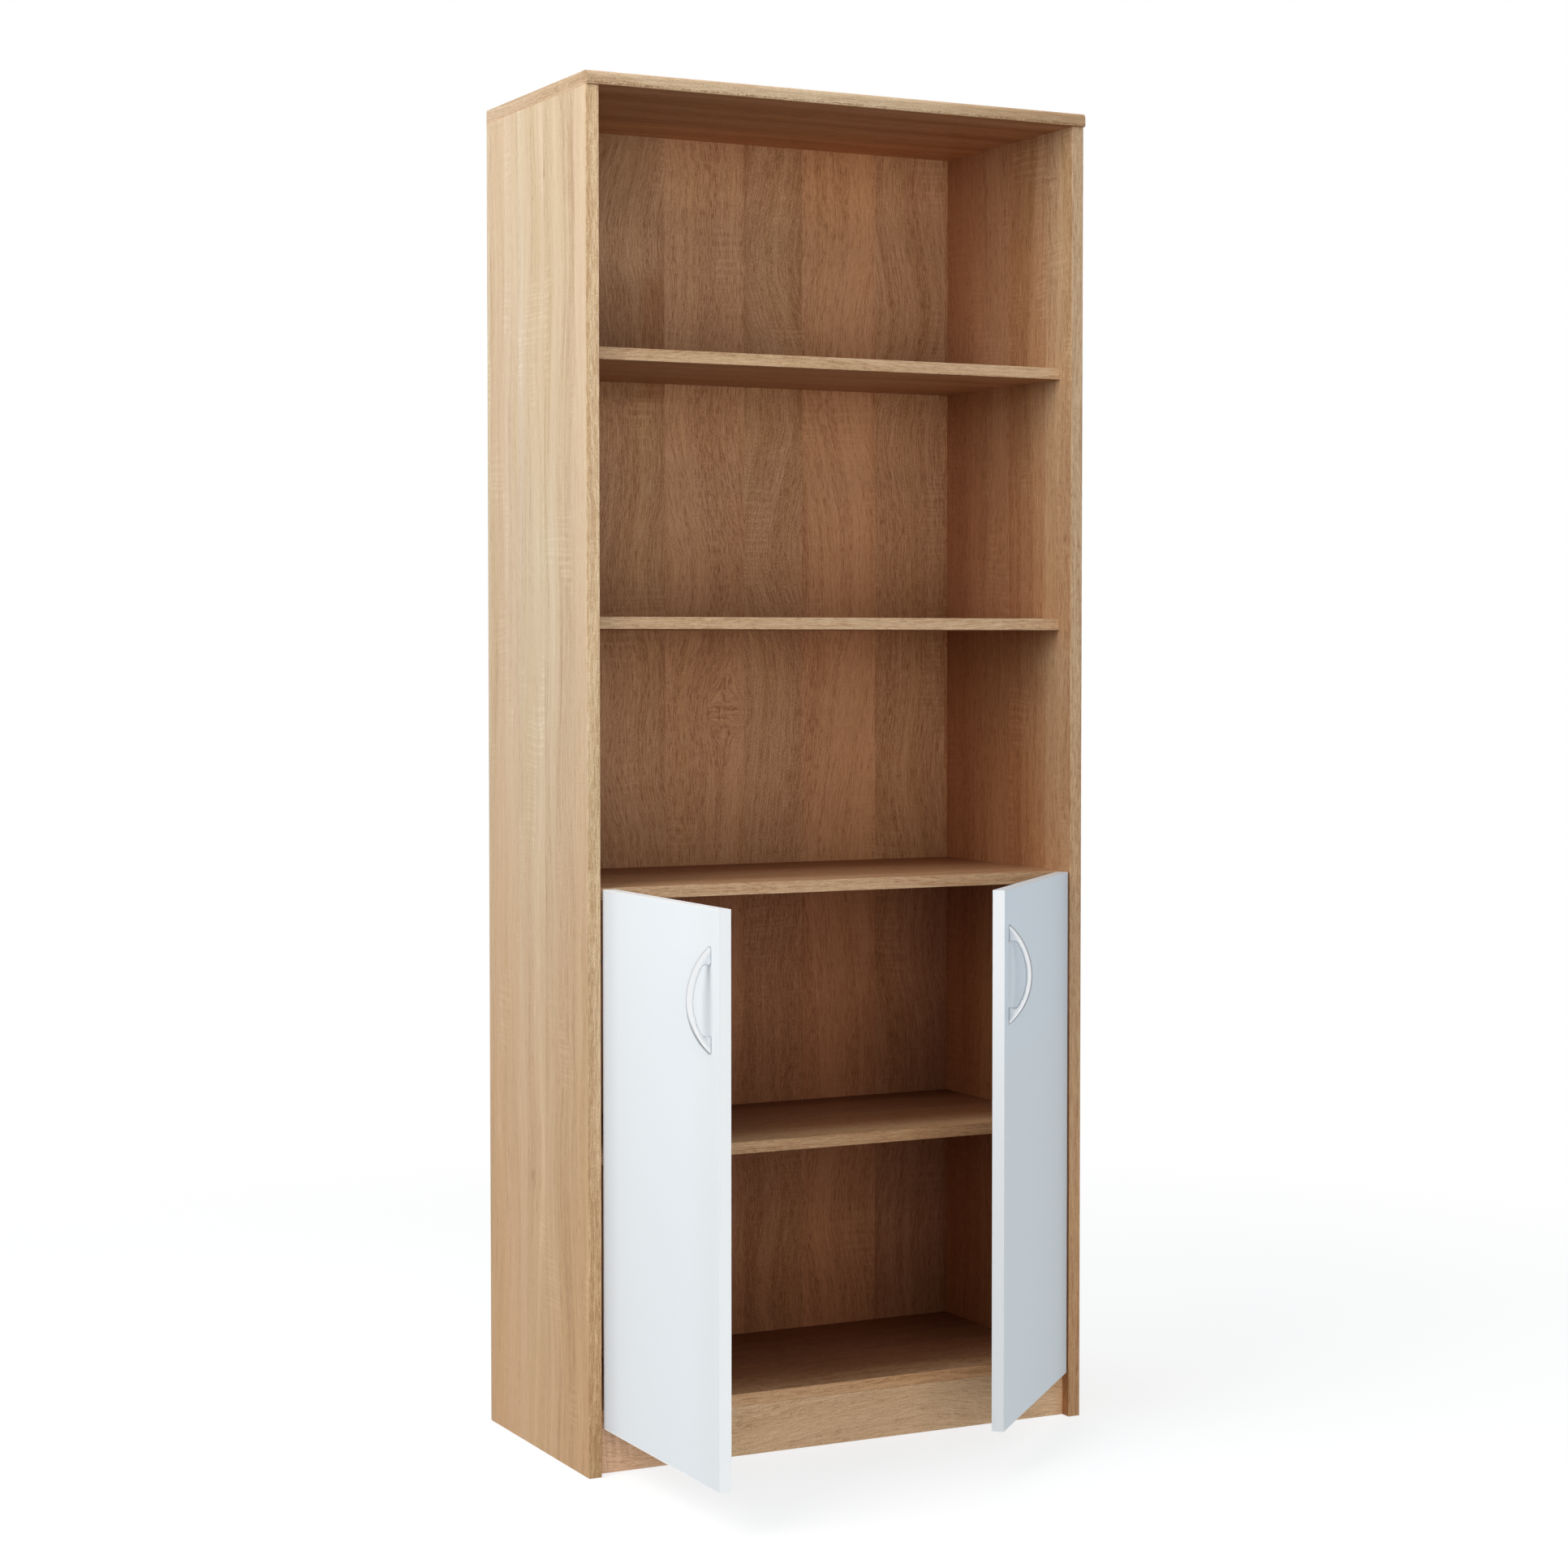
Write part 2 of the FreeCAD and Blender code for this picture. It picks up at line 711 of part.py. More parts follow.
def hinge_cup(z):
    """Pressed cup with a winged flange on the door's inner face."""
    x, face = cup_centre()
    outer = rod(cup_radius - seat_gap, (x, face, z), "y", -cup_depth)
    base = [e for e in outer.Edges if e.Curve.TypeId == "Part::GeomCircle"
            and e.CenterOfMass.y < face - 1]
    outer = outer.makeFillet(cup_wall, base)
    wing_x = x + cup_screw_offset
    half = flange_length / 2 - flange_width / 2
    rim = rod(cup_radius + flange_rim, (x, face, z), "y", flange_thickness)
    bar = box((wing_x - flange_width / 2, wing_x + flange_width / 2),
              (face, face + flange_thickness), (z - half, z + half))
    tips = [rod(flange_width / 2, (wing_x, face, z + s * half), "y", flange_thickness)
            for s in (-1, 1)]
    cup = union([outer, rim, bar] + tips)
    cavity = rod(cup_radius - seat_gap - cup_wall, (x, face + flange_thickness, z), "y",
                 -(cup_depth + flange_thickness - cup_wall))
    holes = [rod(screw_core_radius + press_gap, (wing_x, face, z + s), "y", flange_thickness)
             for s in (-cup_screw_spacing / 2, cup_screw_spacing / 2)]
    return union([drill(cup, [cavity] + holes), cup_cam(z)])


def cup_screws(z, gap=0.0):
    """Two screws through the cup's wings into the door."""
    x, face = cup_centre()
    screws = []
    for s in (-cup_screw_spacing / 2, cup_screw_spacing / 2):
        start = (x + cup_screw_offset, face + flange_thickness, z + s)
        length = flange_thickness + cup_screw_length + (end_gap if gap else 0)
        shank = rod(screw_core_radius + gap, start, "y", -length)
        head = rod(cup_screw_head, start, "y", screw_head_height)
        screws.append(shank if gap else union([shank, head]))
    return screws


# ============================================================ doors, closed
door_x0 = -inner + door_side_gap
door_x1 = door_x0 + door_width
handle_x = door_x1 - handle_from_edge
handle_z = door_top - handle_below_top


def handle_screw(z, gap=0.0):
    """Screw from the inside of the door into one foot of the handle."""
    face = front + door_thickness
    length = door_thickness + handle_screw_depth + (end_gap if gap else 0)
    shank = rod(handle_screw_radius + gap, (handle_x, face, z), "y", -length)
    head = rod(handle_head_radius, (handle_x, face, z), "y", handle_head_height)
    return shank if gap else union([shank, head])


def handle_screw_heights():
    """Height of each handle screw."""
    return (handle_z - handle_holes / 2, handle_z + handle_holes / 2)


def handle():
    """Bow handle: concentric arcs between two solid feet."""
    half = handle_length / 2
    radius = (half ** 2 + handle_rise ** 2) / (2 * handle_rise)
    centre = radius - handle_rise          # arc centre, inside the door
    inner_radius = radius - handle_bow
    foot = half - handle_foot
    step = math.sqrt(inner_radius ** 2 - foot ** 2) - centre

    def point(along, out):
        return Vector(handle_x, front - out, handle_z + along)

    outline = Part.Wire([
        Part.Arc(point(-half, 0), point(0, handle_rise), point(half, 0)).toShape(),
        Part.makeLine(point(half, 0), point(foot, 0)),
        Part.makeLine(point(foot, 0), point(foot, step)),
        Part.Arc(point(foot, step), point(0, handle_rise - handle_bow),
                 point(-foot, step)).toShape(),
        Part.makeLine(point(-foot, step), point(-foot, 0)),
        Part.makeLine(point(-foot, 0), point(-half, 0))])
    body = Part.Face(outline).extrude(Vector(handle_width, 0, 0))
    body.translate(Vector(-handle_width / 2, 0, 0))
    corners = edges_along(body, "x", lambda c: step < front - c.y + 0.1 < step + 0.2)
    body = body.makeFillet(handle_corner, corners)
    door_face = front - 0.01
    bow_edges = [e for e in body.Edges if e.BoundBox.YMin < door_face
                 and abs(e.BoundBox.XLength) < 0.01]
    body = body.makeFillet(handle_round, bow_edges)
    return drill(body, [handle_screw(z, press_gap) for z in handle_screw_heights()])


def door_panel():
    """Door board with bores for cups, screws and handle."""
    panel = box((door_x0 + edge_band, door_x1 - edge_band),
                (front, front + door_thickness),
                (door_bottom + edge_band, door_top - edge_band))
    x, face = cup_centre()
    holes = []
    for z in hinge_heights:
        holes.append(rod(cup_radius, (x, face, z), "y", -(cup_depth + end_gap)))
        holes += cup_screws(z, press_gap)
    holes += [handle_screw(z, press_gap) for z in handle_screw_heights()]
    return drill(panel, holes)


def door_bands():
    """Four strips round the door's edges, outer corners rounded."""
    y_range = (front, front + door_thickness)
    strips = []
    for x in (door_x0, door_x1 - edge_band):
        strips.append(box((x, x + edge_band), y_range, (door_bottom, door_top)))
    for z in (door_bottom, door_top - edge_band):
        strips.append(box((door_x0 + edge_band, door_x1 - edge_band), y_range,
                          (z, z + edge_band)))
    return strips


def door_buffers():
    """Soft pads that meet the middle shelf and the bottom panel."""
    face = front + door_thickness
    x = door_x1 - buffer_from_edge
    heights = [z + board_thickness / 2 for z in fixed_boards]
    return [rod(buffer_radius, (x, face, z), "y", buffer_height) for z in heights]


def swing(shape, side):
    """Turn a closed left-hand piece to its open place, on either side."""
    turned = shape.copy()
    if side == "left":
        turned.rotate(Vector(pivot_x, pivot_y, 0), AXIS["z"], -left_door_open)
        return turned
    turned = mirror(turned)
    turned.rotate(Vector(-pivot_x, pivot_y, 0), AXIS["z"], right_door_open)
    return turned


# ================================================================ assembly
nodes = {}


def carcass_nodes():
    """Panels, bands and shelves."""
    nodes["left_side"] = [nail_bore(side_panel(-1))]
    nodes["right_side"] = [nail_bore(side_panel(1))]
    nodes["side_edge_bands"] = [
        band((sign * inner, sign * width / 2), 0, (0, side_top), "z")
        for sign in (-1, 1)]
    nodes["top_panel"] = [nail_bore(top_panel())]
    nodes["bottom_panel"] = [nail_bore(fixed_board(plinth_height))]
    nodes["middle_shelf"] = [nail_bore(fixed_board(middle_shelf_z))]
    nodes["cabinet_shelf"] = [loose_board(cabinet_shelf_z)]
    nodes["centre_shelf"] = [loose_board(centre_shelf_z)]
    nodes["top_shelf"] = [loose_board(top_shelf_z)]
    nodes["fixed_board_edge_bands"] = [
        band((-inner, inner), fixed_recess, (z, z + board_thickness), "x")
        for z in fixed_boards]
    half = inner - shelf_end_gap
    nodes["shelf_edge_bands"] = [
        band((-half, half), shelf_recess, (z, z + board_thickness), "x")
        for z in loose_boards]
    nodes["plinth"] = [plinth()]
    nodes["back_panel"] = [nail_bore(back_panel())]


def fitting_nodes():
    """Cams, bolts, dowels, screws, pins and nails."""
    cams = []
    bolts = []
    for sign, y, z in cam_places():
        cams.append(cam(sign, (sign * (inner - cam_from_end), y, z), "z", 1))
        bolts.append(cam_bolt(sign, y, z))
    dowels = [side_dowel(*place) for place in dowel_places()]
    for sign, centre in plinth_cams():
        cams.append(cam(sign, centre, "y", -1))
        bolts.append(cam_bolt(sign, centre[1], centre[2]))
        dowels.append(side_dowel(sign, centre[1], plinth_dowel_z))
    dowels += [top_dowel(x, y) for x, y in top_dowel_places()]
    nodes["cam_nuts"] = cams
    nodes["cam_bolts"] = bolts
    nodes["dowels"] = dowels
    nodes["top_screws"] = [top_screw(x, y) for x, y in top_screw_places()]
    nodes["top_screw_caps"] = [top_cap(x, y, seat_gap) for x, y in top_screw_places()]
    nodes["shelf_pins"] = [shelf_pin(*place) for place in pin_places()]
    nodes["back_nails"] = [nail(x, z) for x, z in nail_places()]


def hinge_nodes(side, door_angle):
    """Hinge pieces that stay on the carcass, and the links."""
    def place(shape):
        return shape if side == "left" else mirror(shape)

    groups = {"hinge_plates": [mounting_plate(z) for z in hinge_heights],
              "hinge_plate_screws": [s for z in hinge_heights for s in plate_screws(z)],
              "hinge_arms": [hinge_arm(z) for z in hinge_heights],
              "hinge_arm_screws": [s for z in hinge_heights for s in arm_screws(z)],
              "hinge_rivets": [rivet(z) for z in hinge_heights],
              "hinge_links": [hinge_link(z, door_angle) for z in hinge_heights]}
    for name, solids in groups.items():
        nodes[side + "_" + name] = [place(s) for s in solids]


def door_nodes(side):
    """Everything that swings with one door."""
    groups = {"door": [door_panel()],
              "door_edge_bands": door_bands(),
              "door_buffers": door_buffers(),
              "handle": [handle()],
              "handle_screws": [handle_screw(z) for z in handle_screw_heights()],
              "hinge_cups": [hinge_cup(z) for z in hinge_heights],
              "hinge_cup_screws": [s for z in hinge_heights for s in cup_screws(z)]}
    for name, solids in groups.items():
        nodes[side + "_" + name] = [swing(s, side) for s in solids]


carcass_nodes()
fitting_nodes()
hinge_nodes("left", left_door_open)
hinge_nodes("right", right_door_open)
door_nodes("left")
door_nodes("right")

os.makedirs("parts", exist_ok=True)
for name, solids in nodes.items():
    shape = solids[0] if len(solids) == 1 else Part.makeCompound(solids)
    shape.exportStep(os.path.join("parts", name + ".step"))
print(len(nodes), "nodes,", sum(len(s) for s in nodes.values()), "solids")
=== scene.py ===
import math

import bpy
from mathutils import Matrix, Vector


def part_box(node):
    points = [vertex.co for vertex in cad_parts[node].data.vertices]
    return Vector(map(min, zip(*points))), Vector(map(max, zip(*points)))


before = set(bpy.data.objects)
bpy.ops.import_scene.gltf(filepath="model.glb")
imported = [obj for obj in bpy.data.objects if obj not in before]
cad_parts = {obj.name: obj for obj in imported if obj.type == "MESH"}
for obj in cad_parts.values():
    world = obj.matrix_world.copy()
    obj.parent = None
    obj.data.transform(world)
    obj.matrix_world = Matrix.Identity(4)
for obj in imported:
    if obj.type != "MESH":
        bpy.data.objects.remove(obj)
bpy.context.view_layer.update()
bpy.context.scene.view_settings.view_transform = "Standard"

# ------------------------------------------------------------------ camera
IMAGE_SIZE = 1932.0                       # pixels, square
FOCAL_PIXELS = 3869.19
AXIS_PIXEL = (996.98, 939.00)             # where the optical axis meets the image
SENSOR = 36.0                             # millimetres
CLIP_END = 50.0                           # metres
EYE = Vector((-1.95500, -4.09017, 1.08198))
YAW = math.radians(26.972)                # turned right of +Y
PITCH = math.radians(-2.106)


def add_camera():
    """Camera at the photograph's place, with its lens and framing."""
    data = bpy.data.cameras.new("camera")
    data.sensor_width = SENSOR
    data.lens = SENSOR * FOCAL_PIXELS / IMAGE_SIZE
    data.shift_x = (IMAGE_SIZE / 2 - AXIS_PIXEL[0]) / IMAGE_SIZE
    data.shift_y = (AXIS_PIXEL[1] - IMAGE_SIZE / 2) / IMAGE_SIZE
    data.clip_end = CLIP_END
    camera = bpy.data.objects.new("camera", data)
    camera.location = EYE
    camera.rotation_euler = (math.pi / 2 + PITCH, 0.0, -YAW)
    bpy.context.scene.collection.objects.link(camera)
    bpy.context.scene.camera = camera


# ---------------------------------------------------------- shader helpers
class Graph:
    """A material's node tree; most calls add a node and return its output."""

    def __init__(self, name):
        self.material = bpy.data.materials.new(name)
        self.material.use_nodes = True
        self.tree = self.material.node_tree
        self.shader = self.tree.nodes["Principled BSDF"]

    def add(self, kind, inputs=(), output=0, **settings):
        node = self.tree.nodes.new(kind)
        for key, value in settings.items():
            setattr(node, key, value)
        for socket, value in dict(inputs).items():
            self.feed(node.inputs[socket], value)
        return node.outputs[output]

    def feed(self, socket, value):
        if isinstance(value, bpy.types.NodeSocket):
            self.tree.links.new(value, socket)
        else:
            socket.default_value = value

    def math(self, operation, a, b=0.0, c=0.0, clamp=False):
        return self.add("ShaderNodeMath", {0: a, 1: b, 2: c},
                        operation=operation, use_clamp=clamp)

    def place(self):
        """Object coordinates, split into x, y and z in metres."""
        coordinates = self.add("ShaderNodeTexCoord", output="Object")
        node = self.tree.nodes.new("ShaderNodeSeparateXYZ")
        self.tree.links.new(coordinates, node.inputs[0])
        return node.outputs[0], node.outputs[1], node.outputs[2]

    def vector(self, x, y, z):
        return self.add("ShaderNodeCombineXYZ", {0: x, 1: y, 2: z})

    def noise(self, vector, scale=1.0, detail=2.0, roughness=0.5, distortion=0.0):
        return self.add("ShaderNodeTexNoise",
                        {"Vector": vector, "Scale": scale, "Detail": detail,
                         "Roughness": roughness, "Distortion": distortion})

    def noise_line(self, w, scale=1.0, detail=2.0, roughness=0.5):
        return self.add("ShaderNodeTexNoise",
                        {"W": w, "Scale": scale, "Detail": detail,
                         "Roughness": roughness}, noise_dimensions="1D")

    def span(self, value, low, high, to_low=0.0, to_high=1.0):
        """Value from one range to another, clamped, with soft ends."""
        return self.add("ShaderNodeMapRange",
                        {"Value": value, "From Min": low, "From Max": high,
                         "To Min": to_low, "To Max": to_high},
                        interpolation_type="SMOOTHSTEP")

    def mix(self, factor, a, b, blend="MIX"):
        node = self.tree.nodes.new("ShaderNodeMix")
        node.data_type = "RGBA"
        node.blend_type = blend
        self.feed(node.inputs[0], factor)
        self.feed(node.inputs[6], a)
        self.feed(node.inputs[7], b)
        return node.outputs[2]

    def bump(self, height, strength, distance):
        return self.add("ShaderNodeBump", {"Height": height, "Strength": strength,
                                           "Distance": distance})

    def finish(self, **inputs):
        for name, value in inputs.items():
            self.feed(self.shader.inputs[name.replace("_", " ")], value)
        return self.material


def rgb(red, green, blue):
    return (red, green, blue, 1.0)


# -------------------------------------------------------------- oak colours
OAK_LIGHT = rgb(0.750, 0.595, 0.420)
OAK_MIDDLE = rgb(0.620, 0.456, 0.298)
OAK_DARK = rgb(0.460, 0.300, 0.172)
OAK_PORE = rgb(0.270, 0.120, 0.050)
OAK_PINK = (1.02, 0.94, 0.88)
OAK_OLIVE = (0.97, 0.97, 0.90)
HARDBOARD = (0.44, 0.29, 0.175)
HARDBOARD_SHADE = 0.72                     # its darkest flecks, times its colour

# ------------------------------------------------- the oak print's patterns
PLANKS_PER_METRE = 9.5
PLANK_RANDOMNESS = 0.9
PLANK_WAVE = (3.0, 2.0)                    # cells a metre, across and along
PLANK_WAVE_REACH = 0.006                   # metres that a plank's edge strays
LAID_WAVE_REACH = 0.004
RAMP_SHIFT = 0.5                           # a colour ramp's 0 to 1 is -0.5 to 0.5 m

SEED_LENGTH = 3.7                          # metres from one board's print to the next
SEED_WIDTH = 1.3
EDGE_TURN = 0.9                            # how the print goes on over a board's edge
SLIP_ALONG = 7.0                           # metres that planks differ in, at most
SLIP_LEAN = 9.0
SLIP_ACROSS = 3.0
SLIP_PATCH = 5.0

LEAN_CELLS = 2.6                           # the grain leans, bends and wobbles
LEAN_REACH = 0.13
BEND = (11.0, 3.0)
BEND_REACH = 0.028
WOBBLE = (60.0, 14.0)
WOBBLE_REACH = 0.0035

# cells a metre across the grain and along it, then the noise's detail and roughness
BROAD_FIGURE = (13.0, 0.5)
NARROW_FIGURE = (42.0, 1.4)
STREAKS = (150.0, 3.5, 3.0, 0.6)
FIBRES = (700.0, 30.0, 3.0, 0.65)
MOTTLE = (700.0, 330.0, 2.0, 0.6)
DASHES = (560.0, 75.0, 2.0, 0.55)
VEINS = (42.0, 1.6, 1.0)
CRACKS = (4.0, 9.0)
OLIVE_STREAKS = (22.0, 1.4)
FLECKS = (90.0, 90.0, 4.0, 0.7)

RIPPLE_PITCH = 0.010                       # metres from one saw mark to the next
RIPPLE_CELLS = 1.7 / RIPPLE_PITCH
RIPPLE_BOW = (10.0, 9.0)
RIPPLE_BOW_REACH = 0.022
RIPPLE_PATCHES = (13.0, 6.0, 1.0)

BORDER_WAVE = (30.0, 2.5)                  # dark streaks beside a laid plank's edge
BORDER_WAVE_REACH = 0.30
BORDER_WIDTH = 0.17
BORDER_LENGTHS = (3.0, 3.5)

KNOT_WAVE = (60.0, 60.0)
KNOT_WAVE_REACH = 1.5
KNOT_FLATNESS = 3.0                        # a heart is wider than it is high
KNOT_SWAY = 0.5                            # the grain round it bends higher up
KNOT_PUSH = 0.85
KNOT_STREAKS = (130.0, 18.0, 2.0)
KNOT_STREAK_WAVE = 0.01

# how much each pattern adds to the darkness, from 0, light, to 1, dark
MIDDLE_LEVEL = 0.45
BROAD_WEIGHT = 0.60
PLANK_WEIGHT = 0.36
STREAK_WEIGHT = 0.70
FIBRE_WEIGHT = 1.0
MOTTLE_WEIGHT = 0.8
VEIN_WEIGHT = 0.16
RIPPLE_WEIGHT = -0.17
BORDER_WEIGHT = 0.30
PORE_STRENGTH = 0.17
CRACK_STRENGTH = 0.40

BOARDS = [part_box(name) for name in ("bottom_panel", "cabinet_shelf", "middle_shelf",
                                    "centre_shelf", "top_shelf", "top_panel")]
BAYS = [(lower[1][2], upper[0][2]) for lower, upper in zip(BOARDS, BOARDS[1:])]
FAR = 9.0                                  # metres, further than any bay is high


def tinted(g, factor, colour, tone):
    """The colour, multiplied by a tone where the factor is one."""
    return g.mix(factor, colour, g.mix(1.0, colour, rgb(*tone), "MULTIPLY"))


def stretched(g, u, v, across, along, detail=2.0, roughness=0.5):
    """Noise with so many cells a metre across the grain and along it, around 0."""
    place = g.vector(g.math("MULTIPLY", u, across), 0.0, g.math("MULTIPLY", v, along))
    return g.math("SUBTRACT", g.noise(place, 1.0, detail, roughness), 0.5)


def board_distances(g, z):
    """How far z is above the next board down, and below the next board up, in metres."""
    above = below = FAR
    for low, high in BAYS:
        over = g.math("SUBTRACT", z, low)
        under = g.math("SUBTRACT", high, z)
        above = g.math("MINIMUM", above,
                       g.math("MULTIPLY_ADD", g.math("LESS_THAN", over, 0.0), FAR, over))
        below = g.math("MINIMUM", below,
                       g.math("MULTIPLY_ADD", g.math("LESS_THAN", under, 0.0), FAR, under))
    return above, below


def masked(g, axes, masks):
    """One where every mask is at its second place, none where one is at its first."""
    inside = 1.0
    for axis, start, end in masks:
        inside = g.math("MULTIPLY", inside, g.span(axes[axis], start, end))
    return inside


def laid_planks(g, place, layout):
    """Planks whose edges are given, as a colour for each and the distance to an edge."""
    node = g.tree.nodes.new("ShaderNodeValToRGB")
    node.color_ramp.interpolation = "CONSTANT"
    stops = node.color_ramp.elements
    while len(stops) < len(layout):
        stops.new(1.0)
    for stop, (start, *levels) in zip(stops, layout):
        stop.position = start + RAMP_SHIFT
        stop.color = rgb(*levels)
    g.feed(node.inputs[0], g.math("ADD", place, RAMP_SHIFT))
    edge = 1.0
    for start, *_ in layout:
        edge = g.math("MINIMUM", edge, g.math("ABSOLUTE", g.math("SUBTRACT", place, start)))
    return node.outputs[0], g.math("MULTIPLY", edge, PLANKS_PER_METRE)


def board_axes(g, axes, along, across, seed, banded_end):
    """Places across the grain and along it, in metres, that fit every face."""
    third = axes[({"x", "y", "z"} - {along, across}).pop()]
    length = g.math("ADD", axes[along], seed * SEED_LENGTH)
    width = g.math("ADD", axes[across], seed * SEED_WIDTH)
    if banded_end:
        band_here = g.math("GREATER_THAN", g.math("ABSOLUTE", axes[along]), banded_end)
        length = g.add("ShaderNodeMix", {0: band_here, 2: length, 3: width})
        width = g.add("ShaderNodeMix", {0: band_here, 2: width, 3: third})
    return g.math("MULTIPLY_ADD", third, EDGE_TURN, width), length


def plank_cells(g, place, u, length, planks, layout):
    """Each plank's three values, and the distance to the nearest edge of one."""
    wave = stretched(g, u, length, *PLANK_WAVE)
    if layout:
        strayed = g.math("MULTIPLY_ADD", wave, LAID_WAVE_REACH, place)
        plank, edge = laid_planks(g, strayed, layout)
    else:
        cells = {"W": g.math("MULTIPLY_ADD", wave, PLANK_WAVE_REACH, u), "Scale": planks,
                 "Randomness": PLANK_RANDOMNESS}
        plank = g.add("ShaderNodeTexVoronoi", cells, output="Color", voronoi_dimensions="1D")
        edge = g.add("ShaderNodeTexVoronoi", cells, output="Distance",
                     voronoi_dimensions="1D", feature="DISTANCE_TO_EDGE")
    cell = g.tree.nodes.new("ShaderNodeSeparateColor")
    g.tree.links.new(plank, cell.inputs[0])
    return cell.outputs[0], cell.outputs[1], cell.outputs[2], edge


def leaning_grain(g, u, v, plank_b, plank_c, slant):
    """How far the grain leans, and the place across it once it leans and wanders."""
    slipped = g.math("MULTIPLY_ADD", plank_b, SLIP_LEAN, v)
    lean = g.math("SUBTRACT", g.noise_line(slipped, LEAN_CELLS, 1.0), 0.5)
    w = g.math("MULTIPLY_ADD", lean, LEAN_REACH * slant, u)
    w = g.math("MULTIPLY_ADD", stretched(g, u, v, *BEND), BEND_REACH * slant, w)
    w = g.math("MULTIPLY_ADD", stretched(g, u, v, *WOBBLE), WOBBLE_REACH, w)
    w = g.math("MULTIPLY_ADD", plank_c, SLIP_ACROSS, w)
    return lean, w


def around_knot(g, u, v, w, heart, knot, beside, above):
    """The place across the grain as a knot bends it, and one inside its heart."""
    radius_square = knot[2] * knot[2]
    across_square = g.math("DIVIDE", g.math("MULTIPLY", beside, beside), radius_square)
    along_square = g.math("DIVIDE", g.math("MULTIPLY", above, above), radius_square)
    away = g.math("MULTIPLY_ADD", along_square, KNOT_FLATNESS, across_square)
    away = g.math("MULTIPLY_ADD", stretched(g, u, v, *KNOT_WAVE), KNOT_WAVE_REACH, away)
    core = g.span(away, 1.8, 0.2)
    heart = g.math("MAXIMUM", heart, core)
    swayed = g.math("MULTIPLY_ADD", along_square, KNOT_SWAY, across_square)
    away = g.math("MAXIMUM", swayed, 1.0)
    push = g.math("MULTIPLY", beside, g.math("MULTIPLY_ADD", core, -KNOT_PUSH, KNOT_PUSH))
    return g.math("SUBTRACT", w, g.math("DIVIDE", push, away)), heart


def saw_ripple(g, u, v, plank_c, ripples):
    """Pale bars across the grain, in patches."""
    bow = stretched(g, u, v, *RIPPLE_BOW)
    phase = g.math("MULTIPLY_ADD", bow, RIPPLE_BOW_REACH, v)
    bars = g.noise_line(phase, RIPPLE_CELLS, 0.0)
    slipped = g.math("MULTIPLY_ADD", plank_c, SLIP_PATCH, u)
    patch = g.span(stretched(g, slipped, v, *RIPPLE_PATCHES), 0.04, 0.16)
    return g.math("MULTIPLY", g.math("MULTIPLY", g.span(bars, 0.44, 0.62), patch), ripples)


